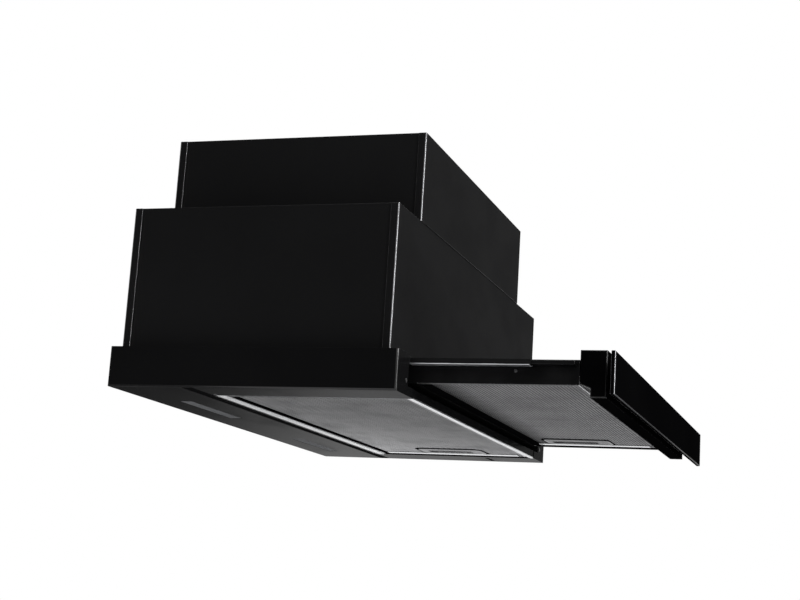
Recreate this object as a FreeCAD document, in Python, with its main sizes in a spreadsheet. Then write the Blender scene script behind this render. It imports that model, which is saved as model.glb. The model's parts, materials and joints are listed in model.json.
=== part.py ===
import FreeCAD, Part
import Sketcher
import math
import os

# Pull out (telescopic) built-in range hood, in millimetres.
# Frame: origin in the plane of the ledge that meets the cabinet, at the centre of the four fixing
# screws. Front is -Y, the user's left is -X, up is +Z. The carriage is drawn out, as it stands in use.

vector = FreeCAD.Vector
doc = FreeCAD.newDocument("PullOutHood")
sheet = doc.addObject("Spreadsheet::Sheet", "Dims")
sheet_rows = []
subparts = []


class Size:
    """A length with the sheet formula that gives it."""

    def __init__(self, value, formula):
        self.value = float(value)
        self.formula = formula

    def __add__(self, other):
        other = as_size(other)
        return Size(self.value + other.value, f"({self.formula} + {other.formula})")

    def __radd__(self, other):
        return as_size(other) + self

    def __sub__(self, other):
        other = as_size(other)
        return Size(self.value - other.value, f"({self.formula} - {other.formula})")

    def __rsub__(self, other):
        return as_size(other) - self

    def __mul__(self, factor):
        factor = as_size(factor)
        return Size(self.value * factor.value, f"({self.formula} * {factor.formula})")

    def __rmul__(self, factor):
        return as_size(factor) * self

    def __truediv__(self, divisor):
        divisor = as_size(divisor)
        return Size(self.value / divisor.value, f"({self.formula} / {divisor.formula})")

    def __neg__(self):
        return Size(-self.value, f"(0 - {self.formula})")


def as_size(number):
    """A plain number as a Size; a Size as it is."""
    if isinstance(number, Size):
        return number
    return Size(number, f"{number}" if number >= 0 else f"(0 - {-number})")


def given(alias, number):
    """Write one driving dimension into the sheet and return it."""
    row = len(sheet_rows) + 1
    sheet_rows.append(alias)
    sheet.set(f"A{row}", alias)
    sheet.set(f"B{row}", str(number))
    sheet.setAlias(f"B{row}", alias)
    return Size(number, f"Dims.{alias}")


# ---------------------------------------------------------------- driving dimensions
# base tray
base_width = given("base_width", 598)
base_depth = given("base_depth", 290)
base_height = given("base_height", 38.5)
rear_reach = given("rear_reach", 134)
tray_sheet = given("tray_sheet", 1)
fold_radius = given("fold_radius", 2)
cheek_width = given("cheek_width", 33)
rear_ledge = given("rear_ledge", 18)
lip_height = given("lip_height", 9)
lip_setback = given("lip_setback", 0.6)
opening_from_back = given("opening_from_back", 84)
screw_from_side = given("screw_from_side", 10)
screw_span_y = given("screw_span_y", 188)
cabinet_screw_hole = given("cabinet_screw_hole", 5)
tool_slot_length = given("tool_slot_length", 32)
tool_slot_width = given("tool_slot_width", 5)
# lamps
lamp_length = given("lamp_length", 126)
lamp_depth = given("lamp_depth", 14)
lamp_spacing = given("lamp_spacing", 303)
lamp_offset = given("lamp_offset", 13)
lamp_from_back = given("lamp_from_back", 36)
lamp_flange = given("lamp_flange", 2)
lamp_housing_height = given("lamp_housing_height", 12)
lamp_wall = given("lamp_wall", 1.5)
led_board_sheet = given("led_board_sheet", 1.6)
led_size = given("led_size", 3)
driver_length = given("driver_length", 78)
driver_width = given("driver_width", 42)
driver_height = given("driver_height", 20)
# rails beside the fixed filter
rear_rail_depth = given("rear_rail_depth", 11)
rear_rail_height = given("rear_rail_height", 6)
rail_edge_gap = given("rail_edge_gap", 3)
front_rail_foot = given("front_rail_foot", 3.4)
front_rail_sheet = given("front_rail_sheet", 1.2)
# grease filters
filter_height = given("filter_height", 8.5)
filter_rim = given("filter_rim", 4.5)
filter_seat = given("filter_seat", 3)
filter_end_rim = given("filter_end_rim", 8)
filter_sheet = given("filter_sheet", 0.8)
filter_front_gap = given("filter_front_gap", 0.6)
filter_rear_gap = given("filter_rear_gap", 2.4)
filter_end_gap = given("filter_end_gap", 3)
filter_lift = given("filter_lift", 0.3)
filter_pin_radius = given("filter_pin_radius", 1.5)
filter_pin_inset = given("filter_pin_inset", 5)
filter_pin_rise = given("filter_pin_rise", 2.75)
filter_pin_grip = given("filter_pin_grip", 1.8)
fixed_handle_from_rear = given("fixed_handle_from_rear", 100.6)
carriage_handle_from_rear = given("carriage_handle_from_rear", 63.5)
handle_length = given("handle_length", 84)
handle_width = given("handle_width", 68)
handle_slot_length = given("handle_slot_length", 43)
handle_slot_width = given("handle_slot_width", 7)
handle_slot_inset = given("handle_slot_inset", 22)
latch_width = given("latch_width", 28)
latch_height = given("latch_height", 2)
latch_reach = given("latch_reach", 2.6)
latch_tab = given("latch_tab", 2.8)
# lower casing
casing_inset = given("casing_inset", 20.5)
casing_sheet = given("casing_sheet", 0.8)
casing_wrap = given("casing_wrap", 8)
casing_flange = given("casing_flange", 10)
casing_bend = given("casing_bend", 1.3)
lower_front_setback = given("lower_front_setback", 15)
lower_rear_setback = given("lower_rear_setback", 1)
lower_height = given("lower_height", 141.5)
well_side_gap = given("well_side_gap", 20)
well_front_gap = given("well_front_gap", 25)
well_back_gap = given("well_back_gap", 10)
# upper casing
upper_left_inset = given("upper_left_inset", 88)
upper_right_inset = given("upper_right_inset", 114.5)
upper_front_overhang = given("upper_front_overhang", 0.8)
upper_rear_setback = given("upper_rear_setback", 8.5)
upper_height = given("upper_height", 89.7)
# outlet
outlet_radius = given("outlet_radius", 59.5)
outlet_wall = given("outlet_wall", 1.5)
outlet_height = given("outlet_height", 40)
outlet_flange = given("outlet_flange", 146)
outlet_flange_sheet = given("outlet_flange_sheet", 1.5)
outlet_from_front = given("outlet_from_front", 116)
flap_rise = given("flap_rise", 9)
flap_sheet = given("flap_sheet", 1.2)
flap_pin_radius = given("flap_pin_radius", 1.2)
flap_pin_offset = given("flap_pin_offset", 3.6)
flap_knuckle = given("flap_knuckle", 2.4)
flap_gap = given("flap_gap", 1.4)
# blower
fan_from_back = given("fan_from_back", 97)
fan_rise = given("fan_rise", 101)
fan_radius = given("fan_radius", 76)
fan_blade_depth = given("fan_blade_depth", 13)
fan_width = given("fan_width", 108)
fan_blades = 36
fan_disc = given("fan_disc", 2)
fan_hub_radius = given("fan_hub_radius", 12)
fan_rim_gap = given("fan_rim_gap", 8)
fan_side_gap = given("fan_side_gap", 6)
scroll_step = given("scroll_step", 7)
scroll_sheet = given("scroll_sheet", 1)
scroll_top = given("scroll_top", 190)
shaft_radius = given("shaft_radius", 4)
motor_radius = given("motor_radius", 43)
motor_length = given("motor_length", 58)
motor_from_disc = given("motor_from_disc", 10)
bracket_sheet = given("bracket_sheet", 2)
bracket_arm = given("bracket_arm", 12)
# electrics
capacitor_radius = given("capacitor_radius", 15)
capacitor_length = given("capacitor_length", 55)
gland_radius = given("gland_radius", 9)
gland_bore = given("gland_bore", 3.5)
# telescopic slides
slide_from_top = given("slide_from_top", 5.4)
slide_half_height = given("slide_half_height", 4)
slide_wall = given("slide_wall", 1)
slide_gap = given("slide_gap", 0.2)
middle_wall = given("middle_wall", 0.8)
slide_depth = given("slide_depth", 7.5)
slide_length = given("slide_length", 225)
middle_reach = given("middle_reach", 113.5)
middle_length = given("middle_length", 220)
# carriage
slide_pack = given("slide_pack", 15)
carriage_out = given("carriage_out", 155.2)
filter_clear_of_base = given("filter_clear_of_base", 1.5)
bar_tail = given("bar_tail", 33)
bar_height = given("bar_height", 22.2)
bar_below_ledge = given("bar_below_ledge", 1.5)
bar_sheet = given("bar_sheet", 1)
bar_top_flange = given("bar_top_flange", 10)
bar_bottom_flange = given("bar_bottom_flange", 3)
cover_sheet = given("cover_sheet", 0.8)
rear_rail_thick = given("rear_rail_thick", 32)
crossbar_end_setback = given("crossbar_end_setback", 2)
crossbar_cap = given("crossbar_cap", 3)
crossbar_depth = given("crossbar_depth", 24.5)
crossbar_above = given("crossbar_above", 8.6)
crossbar_below = given("crossbar_below", 34.5)
crossbar_wall = given("crossbar_wall", 2)
crossbar_foot = given("crossbar_foot", 14.5)
cap_step_drop = given("cap_step_drop", 22.5)
cap_step_slope = given("cap_step_slope", 4)
cap_edge = given("cap_edge", 1)
# fascia
fascia_end_setback = given("fascia_end_setback", 9)
fascia_height = given("fascia_height", 38.5)
fascia_sheet = given("fascia_sheet", 4)
fascia_gap = given("fascia_gap", 11.3)
fascia_above = given("fascia_above", 1)
fascia_edge = given("fascia_edge", 0.9)
fascia_bracket_width = given("fascia_bracket_width", 40)
fascia_bracket_spacing = given("fascia_bracket_spacing", 320)
# switches
switch_length = given("switch_length", 66)
switch_width = given("switch_width", 13)
switch_from_end = given("switch_from_end", 14)
switch_drop = given("switch_drop", 15)
switch_lip = given("switch_lip", 1.5)
switch_lip_height = given("switch_lip_height", 0.7)
knob_length = given("knob_length", 8)
knob_width = given("knob_width", 6)
knob_rise = given("knob_rise", 2.6)
knob_depth = given("knob_depth", 3.5)
light_travel = given("light_travel", 7)
speed_travel = given("speed_travel", 21)
# fasteners and general clearances
screw_radius = given("screw_radius", 1.8)
screw_head_radius = given("screw_head_radius", 3.4)
screw_head_height = given("screw_head_height", 1.6)
rail_screw_out = given("rail_screw_out", 7)
rail_tab_margin = given("rail_tab_margin", 1.6)
rivet_radius = given("rivet_radius", 1.7)
rivet_height = given("rivet_height", 0.8)
loose = given("loose", 0.2)
running = given("running", 0.05)
doc.recompute()

# ---------------------------------------------------------------- derived places
half_width = base_width / 2
back = rear_reach
front = back - base_depth
floor = -base_height
sheet_top = floor + tray_sheet
lip_top = floor + lip_height
opening_rear = back - opening_from_back
cheek_inner = half_width - cheek_width
slide_x = cheek_inner - tray_sheet
carriage_half = slide_x - slide_pack
opening_half = carriage_half - bar_bottom_flange
screw_span_x = base_width - 2 * screw_from_side
rear_rail_y = (opening_rear - rail_edge_gap - rear_rail_depth, opening_rear - rail_edge_gap)
front_rail_y = (front + lip_setback, front + lip_setback + front_rail_foot)
lower_half = half_width - casing_inset
lower_front = front + lower_front_setback
lower_back = back - lower_rear_setback
upper_left = -half_width + upper_left_inset
upper_right = half_width - upper_right_inset
upper_front = lower_front - upper_front_overhang
upper_back = back - upper_rear_setback
upper_top = lower_height + upper_height
fan_x = (upper_left + upper_right) / 2
fan_centre_y = lower_back - fan_from_back
fan_centre_z = fan_rise
scroll_start_radius = fan_radius + fan_rim_gap
scroll_width = fan_width + 2 * fan_side_gap
scroll_inlet_radius = fan_radius - fan_blade_depth - 1
outlet_y = lower_front + outlet_from_front
slide_z = -slide_from_top
middle_half = slide_half_height - slide_wall - slide_gap
inner_half = middle_half - middle_wall - slide_gap
carriage_rear_face = front - carriage_out
crossbar_y = (carriage_rear_face - crossbar_depth, carriage_rear_face)
crossbar_foot_y = crossbar_y[0] + crossbar_foot
bar_top = -bar_below_ledge
bar_bottom = bar_top - bar_height
fixed_filter_y = front_rail_y[1] + filter_front_gap
fixed_filter_z = floor + filter_lift
fixed_filter_depth = rear_rail_y[0] - filter_rear_gap - fixed_filter_y
filter_length = 2 * (opening_half - filter_end_gap)
carriage_filter_y = carriage_rear_face + filter_front_gap
carriage_filter_depth = front - filter_clear_of_base - carriage_filter_y
carriage_filter_z = bar_bottom + filter_lift + loose
carriage_rail_y = carriage_filter_y + carriage_filter_depth + filter_rear_gap
bar_y = (carriage_rear_face, carriage_rail_y + rear_rail_thick + bar_tail)
crossbar_half = carriage_half - crossbar_end_setback
fascia_width = base_width - 2 * fascia_end_setback
fascia_y = (crossbar_y[0] - fascia_gap - fascia_sheet, crossbar_y[0] - fascia_gap)


# ---------------------------------------------------------------- building helpers
def bind(thing, name, size):
    """Tie a property to its sheet formula."""
    thing.setExpression(name, as_size(size).formula)


def span(side, near, far):
    """Low and high X of a stretch from near to far on the left (-1) or the right (1)."""
    if side > 0:
        return as_size(near), as_size(far)
    return -as_size(far), -as_size(near)


def box(label, x, y, z):
    """A box between the (low, high) pairs x, y and z."""
    solid = doc.addObject("Part::Box", label)
    for side, place, ends in (("Length", "x", x), ("Width", "y", y), ("Height", "z", z)):
        low = as_size(ends[0])
        bind(solid, side, as_size(ends[1]) - low)
        bind(solid, "Placement.Base." + place, low)
    return solid


def rod(label, axis, radius, ends, centre):
    """A cylinder along axis between ends; centre holds the other two coordinates in X, Y, Z order."""
    solid = doc.addObject("Part::Cylinder", label)
    turn = {"x": FreeCAD.Rotation(vector(0, 1, 0), 90),
            "y": FreeCAD.Rotation(vector(1, 0, 0), -90),
            "z": FreeCAD.Rotation()}[axis]
    solid.Placement = FreeCAD.Placement(vector(0, 0, 0), turn)
    low = as_size(ends[0])
    bind(solid, "Radius", radius)
    bind(solid, "Height", as_size(ends[1]) - low)
    places = list(centre)
    places.insert("xyz".index(axis), low)
    for letter, place in zip("xyz", places):
        bind(solid, "Placement.Base." + letter, place)
    return solid


def join(label, *pieces):
    """One solid out of pieces that meet."""
    solid = doc.addObject("Part::MultiFuse", label)
    solid.Shapes = list(pieces)
    solid.Refine = True
    return solid


def cut(label, blank, *tools):
    """The blank with every tool taken out of it."""
    solid = doc.addObject("Part::Cut", label)
    solid.Base = blank
    solid.Tool = tools[0] if len(tools) == 1 else join(label + "_tools", *tools)
    solid.Refine = True
    return solid


def group(label, *pieces):
    """Separate solids of one kind under one name."""
    solids = doc.addObject("Part::Compound", label)
    solids.Links = list(pieces)
    return solids


def prism(label, axis, loops, ends):
    """A body padded along axis between ends; loops are closed outlines in the other two coordinates."""
    body = doc.addObject("PartDesign::Body", label)
    outline = body.newObject("Sketcher::SketchObject", label + "_outline")
    low = as_size(ends[0])
    high = as_size(ends[1])
    role, start = {"x": ("YZ_Plane", low), "y": ("XZ_Plane", -high), "z": ("XY_Plane", low)}[axis]
    planes = [feature for feature in body.Origin.OriginFeatures if feature.Role == role]
    outline.AttachmentSupport = [(planes[0], "")]
    outline.MapMode = "FlatFace"
    bind(outline, "AttachmentOffset.Base.z", start)
    first = 0
    for loop in loops:
        corners = [(as_size(u), as_size(v)) for u, v in loop]
        count = len(corners)
        for i in range(count):
            here = corners[i]
            following = corners[(i + 1) % count]
            outline.addGeometry(Part.LineSegment(vector(here[0].value, here[1].value, 0),
                                                 vector(following[0].value, following[1].value, 0)), False)
        for i in range(count):
            outline.addConstraint(Sketcher.Constraint(
                "Coincident", first + i, 2, first + (i + 1) % count, 1))
        for i in range(count):
            for kind, size in zip(("DistanceX", "DistanceY"), corners[i]):
                index = outline.addConstraint(Sketcher.Constraint(
                    kind, -1, 1, first + i, 1, size.value))
                outline.setExpression(f"Constraints[{index}]", size.formula)
        first += count
    pad = body.newObject("PartDesign::Pad", label + "_pad")
    pad.Profile = outline
    bind(pad, "Length", high - low)
    doc.recompute()
    return body


def round_body(body, radius, wanted):
    """Round the edges of a body for which wanted(edge) is true."""
    tip = body.Tip
    names = [f"Edge{i + 1}" for i, edge in enumerate(tip.Shape.Edges) if wanted(edge)]
    rounding = body.newObject("PartDesign::Fillet", body.Label + "_rounding")
    rounding.Base = (tip, names)
    bind(rounding, "Radius", radius)
    body.Tip = rounding
    doc.recompute()
    return body


def runs_along(edge, axis):
    """True for a straight edge along the axis."""
    if edge.Curve.TypeId != "Part::GeomLine":
        return False
    return abs(abs(edge.Curve.Direction["xyz".index(axis)]) - 1) < 1e-6


def finish(label, solid):
    """Name a finished sub-part and put it on the list of files."""
    solid.Label = label
    subparts.append(solid)
    return solid


def at(size, number):
    """True where a coordinate equals a size."""
    return abs(size.value - number) < 1e-4


# ---------------------------------------------------------------- base tray and what it holds
def ledge_holes(prefix, radius, ends):
    """The four fixing holes through the ledge."""
    return [rod(f"{prefix}_{i}{j}", "z", radius, ends, (i * screw_span_x / 2, j * screw_span_y / 2))
            for i in (-1, 1) for j in (-1, 1)]


def casing_screw_places():
    """Where the lower casing's flanges are screwed to the ledge."""
    x = lower_half - 2 * casing_sheet - casing_flange / 2
    inset = 24
    return [(side * x, y) for side in (-1, 1)
            for y in (lower_front + inset, (lower_front + lower_back) / 2, lower_back - inset)]


def make_base_tray():
    outer = box("tray_blank", (-half_width, half_width), (front, back), (floor, 0))
    inner = box("tray_space", (-half_width + tray_sheet, half_width - tray_sheet),
                (front + tray_sheet, back - tray_sheet), (sheet_top, -tray_sheet))
    top_gap = box("tray_top_gap", (-cheek_inner, cheek_inner), (front - 1, back - rear_ledge),
                  (-2 * tray_sheet, 1))
    front_gap = box("tray_front_gap", (-cheek_inner, cheek_inner), (front - 1, front + 2 * tray_sheet),
                    (lip_top, 1))
    opening = box("tray_opening", (-opening_half, opening_half), (front - 1, opening_rear),
                  (floor - 1, sheet_top + 1))
    lip_gap = box("tray_lip_gap", (-opening_half, opening_half), (front - 1, front + 2 * tray_sheet),
                  (floor - 1, lip_top + 1))
    windows = [box(f"tray_window_{side}", lamp_x(side, 0), lamp_y(0), (floor - 1, sheet_top + 1))
               for side in (-1, 1)]
    slot = box("tray_tool_slot", (opening_half + 10, opening_half + 10 + tool_slot_length),
               (-screw_span_y / 2 - tool_slot_width / 2, -screw_span_y / 2 + tool_slot_width / 2),
               (floor - 1, sheet_top + 1))
    holes = ledge_holes("tray_hole", cabinet_screw_hole / 2, (-2 * tray_sheet, 1))
    screws = [rod(f"tray_casing_hole_{i}", "z", screw_radius + loose / 2, (-2 * tray_sheet, 1), place)
              for i, place in enumerate(casing_screw_places())]
    rail_holes = [rod(f"tray_rail_hole_{i}", "z", screw_radius + loose / 2, (floor - 1, sheet_top + 1),
                      place) for i, place in enumerate(rail_screw_places())]
    folded = cut("tray_folded", outer, inner, top_gap, front_gap, opening, lip_gap, slot,
                 *windows, *holes, *screws, *rail_holes)
    lip = box("tray_lip", (-opening_half - 1, opening_half + 1),
              (front + lip_setback, front + lip_setback + tray_sheet),
              (floor + front_rail_sheet + 0.1, lip_top))
    tray = join("tray_joined", folded, lip)
    doc.recompute()
    rounded = doc.addObject("Part::Fillet", "tray_rounded")
    rounded.Base = tray
    radius = fold_radius.value
    rounded.Edges = [(i + 1, radius, radius) for i, edge in enumerate(tray.Shape.Edges)
                     if tray_outer_edge(edge)]
    finish("base_tray", rounded)


def tray_outer_edge(edge):
    """The tray's long outer folds: the side walls' lower edges and the four corners."""
    box_of_edge = edge.BoundBox
    on_side = at(half_width, abs(box_of_edge.XMin)) and at(half_width, abs(box_of_edge.XMax))
    low_fold = (runs_along(edge, "y") and at(floor, box_of_edge.ZMin) and on_side
                and edge.Length > base_depth.value / 2)
    corner = (runs_along(edge, "z") and on_side and edge.Length > base_height.value / 2
              and (at(front, box_of_edge.YMin) or at(back, box_of_edge.YMax)))
    return low_fold or corner


def make_slide_brackets():
    pieces = []
    for side in (-1, 1):
        web = slide_x
        tip = lower_half
        bottom = sheet_top
        top = -tray_sheet
        corners = [(web, bottom), (tip, bottom), (tip, bottom + tray_sheet),
                   (web + tray_sheet, bottom + tray_sheet), (web + tray_sheet, top - tray_sheet),
                   (tip, top - tray_sheet), (tip, top), (web, top)]
        body = prism(f"slide_bracket_{side}", "y", [[(side * x, z) for x, z in corners]],
                     (front + 2 * tray_sheet, front + 2 * tray_sheet + slide_length))
        holes = [rod(f"slide_bracket_hole_{side}_{i}", "z", screw_radius + loose / 2,
                     (top - 2 * tray_sheet, top + 1), place)
                 for i, place in enumerate(casing_screw_places()) if place[0].value * side > 0]
        pieces.append(cut(f"slide_bracket_drilled_{side}", body, *holes))
    finish("slide_brackets", group("slide_bracket_pair", *pieces))


def lamp_x(side, margin):
    """X stretch of a lamp window, grown by a margin."""
    centre = lamp_offset + side * lamp_spacing / 2
    return centre - lamp_length / 2 - margin, centre + lamp_length / 2 + margin


def lamp_y(margin):
    """Y stretch of the lamp windows, grown by a margin."""
    centre = back - lamp_from_back
    return centre - lamp_depth / 2 - margin, centre + lamp_depth / 2 + margin


def make_lamps():
    lenses = []
    housings = []
    boards = []
    led_count = 12
    roof = sheet_top + lamp_housing_height
    for side in (-1, 1):
        pane = box(f"lens_pane_{side}", lamp_x(side, -loose), lamp_y(-loose), (floor, sheet_top))
        flange = box(f"lens_flange_{side}", lamp_x(side, lamp_flange), lamp_y(lamp_flange),
                     (sheet_top, sheet_top + lamp_wall))
        lenses.append(join(f"lens_{side}", pane, flange))
        shell = box(f"housing_blank_{side}", lamp_x(side, lamp_flange + loose + lamp_wall),
                    lamp_y(lamp_flange + loose + lamp_wall), (sheet_top, roof))
        room = box(f"housing_room_{side}", lamp_x(side, lamp_flange + loose),
                   lamp_y(lamp_flange + loose), (sheet_top - 1, roof - lamp_wall))
        housings.append(cut(f"housing_{side}", shell, room))
        under = roof - lamp_wall - led_board_sheet
        board = box(f"board_{side}", lamp_x(side, -lamp_flange), lamp_y(-lamp_flange),
                    (under, roof - lamp_wall))
        pitch = (lamp_length - 2 * lamp_flange) / led_count
        start = lamp_x(side, -lamp_flange)[0]
        middle = back - lamp_from_back
        chips = [box(f"led_{side}_{i}", (start + (i + 0.5) * pitch - led_size / 2,
                                         start + (i + 0.5) * pitch + led_size / 2),
                     (middle - led_size / 2, middle + led_size / 2), (under - led_size / 4, under))
                 for i in range(led_count)]
        boards.append(join(f"led_board_{side}", board, *chips))
    finish("lamp_lenses", group("lamp_lens_pair", *lenses))
    finish("lamp_housings", group("lamp_housing_pair", *housings))
    finish("led_boards", group("led_board_pair", *boards))


def rail_screw_places():
    """Where the rear rail's end tabs are screwed to the tray's underside sheet."""
    y = (rear_rail_y[0] + rear_rail_y[1]) / 2
    return [(side * (opening_half + rail_screw_out), y) for side in (-1, 1)]


def make_rails():
    tab = rail_screw_out + screw_head_radius + rail_tab_margin
    bar = box("rear_rail_bar", (-opening_half + loose, opening_half - loose), rear_rail_y,
              (floor, floor + rear_rail_height))
    tabs = box("rear_rail_tabs", (-opening_half - tab, opening_half + tab), rear_rail_y,
               (sheet_top, sheet_top + 2 * tray_sheet))
    pin_hole = filter_pin_hole("rear_rail_pin_hole", fixed_filter_z,
                               (rear_rail_y[0] - 1, rear_rail_y[0] + 2 * filter_pin_grip))
    screw_holes = [rod(f"rear_rail_hole_{i}", "z", screw_radius + loose / 2, (floor, 0), place)
                   for i, place in enumerate(rail_screw_places())]
    finish("rear_filter_rail", cut("rear_rail_cut", join("rear_rail_joined", bar, tabs),
                                   pin_hole, *screw_holes))
    foot = box("front_rail_foot_bar", (-opening_half + loose, opening_half - loose), front_rail_y,
               (floor, floor + front_rail_sheet))
    leg = box("front_rail_leg", (-opening_half - 4, opening_half + 4),
              (front_rail_y[0] + tray_sheet, front_rail_y[1]), (sheet_top, lip_top - loose))
    front_hole = filter_pin_hole("front_rail_pin_hole", fixed_filter_z,
                                 (front_rail_y[1] - filter_pin_grip - loose, front_rail_y[1] + 1))
    finish("front_filter_rail", cut("front_rail_cut", join("front_rail_joined", foot, leg), front_hole))
    heads = [join(f"rail_screw_{i}",
                  rod(f"rail_screw_head_{i}", "z", screw_head_radius,
                      (sheet_top + 2 * tray_sheet, sheet_top + 2 * tray_sheet + screw_head_height), place),
                  rod(f"rail_screw_shank_{i}", "z", screw_radius,
                      (floor, sheet_top + 2 * tray_sheet), place))
             for i, place in enumerate(rail_screw_places())]
    finish("rail_screws", group("rail_screw_pair", *heads))


def make_led_driver():
    case = box("driver_case", (lamp_offset - driver_length / 2, lamp_offset + driver_length / 2),
               (back - tray_sheet - 4 - driver_width, back - tray_sheet - 4),
               (sheet_top, sheet_top + driver_height))
    finish("led_driver", case)


# ---------------------------------------------------------------- grease filters
def filter_pin_hole(label, low, ends):
    """The hole that a filter's hinge pin turns in."""
    return rod(label, "y", filter_pin_radius + running, ends, filter_pin_centre(low))


def filter_pin_centre(low):
    """X and Z of a filter's hinge pins; low is the filter's underside."""
    return -filter_length / 2 + filter_pin_inset, low + filter_pin_rise


def make_filter(prefix, y, depth, low, handle_from_rear):
    """A cassette filter: frame with hinge pins, mesh pack, handle plate and sliding latch."""
    half = filter_length / 2
    high = low + filter_height
    rear = y + depth
    middle = rear - handle_from_rear
    inner_end = half - filter_end_rim
    blank = box(prefix + "_blank", (-half, half), (y, rear), (low, high))
    window = box(prefix + "_window", (-half + filter_rim, inner_end),
                 (y + filter_rim, rear - filter_rim), (low - 1, high + 1))
    seat = filter_seat
    pocket = box(prefix + "_pocket", (-half + filter_rim - seat, inner_end + seat),
                 (y + filter_rim - seat, rear - filter_rim + seat),
                 (low + filter_sheet, high - filter_sheet))
    latch_z = (low + filter_sheet + loose, low + filter_sheet + loose + latch_height)
    latch_way = box(prefix + "_latch_way", (inner_end - 1, half + 1),
                    (middle - latch_width / 2 - loose, middle + latch_width / 2 + loose),
                    (latch_z[0] - loose, latch_z[1] + loose))
    pins = [rod(f"{prefix}_pin_{i}", "y", filter_pin_radius, ends, filter_pin_centre(low))
            for i, ends in enumerate(((y - filter_front_gap - filter_pin_grip, y + 1),
                                      (rear - 1, rear + filter_rear_gap + 2 * filter_pin_grip - loose)))]
    frame = join(prefix + "_frame_joined", cut(prefix + "_frame_cut", blank, window, pocket, latch_way),
                 *pins)
    finish(prefix + "_frame", frame)
    plate_x = (inner_end - handle_width, inner_end - loose)
    slot_x = (inner_end - handle_slot_inset - handle_slot_width, inner_end - handle_slot_inset)
    tab_x = (slot_x[1] - loose - latch_tab, slot_x[1] - loose)
    sheet_blank = box(prefix + "_mesh_blank", (-half + filter_rim - seat + loose, inner_end + seat - loose),
                      (y + filter_rim - seat + loose, rear - filter_rim + seat - loose),
                      (low + filter_sheet, high - filter_sheet))
    notch = box(prefix + "_mesh_notch", (slot_x[0] - loose, inner_end + seat),
                (middle - handle_slot_length / 2 - loose, middle + handle_slot_length / 2 + loose),
                (low, latch_z[1] + loose))
    finish(prefix + "_mesh", cut(prefix + "_mesh_cut", sheet_blank, notch))
    plate = box(prefix + "_plate", plate_x, (middle - handle_length / 2, middle + handle_length / 2),
                (low, low + filter_sheet))
    slot = box(prefix + "_slot", slot_x, (middle - handle_slot_length / 2, middle + handle_slot_length / 2),
               (low - 1, low + 2 * filter_sheet))
    finish(prefix + "_handle_plate", cut(prefix + "_plate_cut", plate, slot))
    tongue = box(prefix + "_tongue", (tab_x[0], half + latch_reach),
                 (middle - latch_width / 2, middle + latch_width / 2), latch_z)
    tab_half = handle_slot_length / 2 - loose
    tab_bar = box(prefix + "_tab_bar", tab_x, (middle - tab_half, middle + tab_half),
                  (low + loose, latch_z[1]))
    finish(prefix + "_latch", join(prefix + "_latch_joined", tongue, tab_bar))


# ---------------------------------------------------------------- casings
def wrapped_panel(label, x, face, wrap_end, z, bend):
    """A front or back sheet with its edges wrapped round the sides, from face to wrap_end."""
    inward = 1 if wrap_end.value > face.value else -1
    inner = face + inward * casing_sheet
    corners = [(x[0], face), (x[1], face), (x[1], wrap_end), (x[1] - casing_sheet, wrap_end),
               (x[1] - casing_sheet, inner), (x[0] + casing_sheet, inner),
               (x[0] + casing_sheet, wrap_end), (x[0], wrap_end)]
    body = prism(label + "_body", "z", [corners], z)
    return round_body(body, bend, lambda edge: runs_along(edge, "z")
                      and at(face, edge.BoundBox.YMin)
                      and (at(x[0], edge.BoundBox.XMin) or at(x[1], edge.BoundBox.XMax)))


def side_panel(label, side, outer, y, z, holes):
    """A side sheet behind the wraps, with a foot turned inwards."""
    outer_face = outer - side * casing_sheet
    inner_face = outer_face - side * casing_sheet
    toe = inner_face - side * casing_flange
    corners = [(outer_face, z[0]), (toe, z[0]), (toe, z[0] + casing_sheet),
               (inner_face, z[0] + casing_sheet), (inner_face, z[1]), (outer_face, z[1])]
    body = prism(label + "_body", "y", [corners], y)
    if not holes:
        return body
    drilled = [rod(f"{label}_hole_{i}", "z", screw_radius + loose / 2,
                   (z[0] - 1, z[0] + 2 * casing_sheet), place) for i, place in enumerate(holes)]
    return cut(label + "_drilled", body, *drilled)


def make_lower_casing():
    x = (-lower_half, lower_half)
    z = (as_size(0), lower_height)
    sheets = (lower_front + casing_sheet, lower_back - casing_sheet)
    finish("lower_front_panel", wrapped_panel("lower_front", x, lower_front, lower_front + casing_wrap,
                                              z, casing_bend))
    finish("lower_back_panel", wrapped_panel("lower_back", x, lower_back, lower_back - casing_wrap,
                                             z, casing_bend))
    places = casing_screw_places()
    finish("lower_left_panel", side_panel("lower_left", -1, x[0], sheets, z, places[:3]))
    finish("lower_right_panel", side_panel("lower_right", 1, x[1], sheets, z, places[3:]))
    lid = box("lower_top_blank", (x[0] + 2 * casing_sheet, x[1] - 2 * casing_sheet), sheets,
              (z[1] - casing_sheet, z[1]))
    reach = scroll_width / 2 + well_side_gap
    well = box("lower_top_well", (fan_x - reach, fan_x + reach),
               (lower_front + well_front_gap, upper_back - well_back_gap), (z[1] - 2, z[1] + 1))
    cable = rod("lower_top_cable_hole", "z", gland_radius - 2, (z[1] - 2, z[1] + 1), gland_centre())
    finish("lower_top_panel", cut("lower_top_cut", lid, well, cable))
    screws = [join(f"casing_screw_{i}",
                   rod(f"casing_screw_head_{i}", "z", screw_head_radius,
                       (casing_sheet, casing_sheet + screw_head_height), place),
                   rod(f"casing_screw_shank_{i}", "z", screw_radius, (-3 * tray_sheet, casing_sheet),
                       place))
              for i, place in enumerate(places)]
    finish("casing_screws", group("casing_screw_set", *screws))


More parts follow.
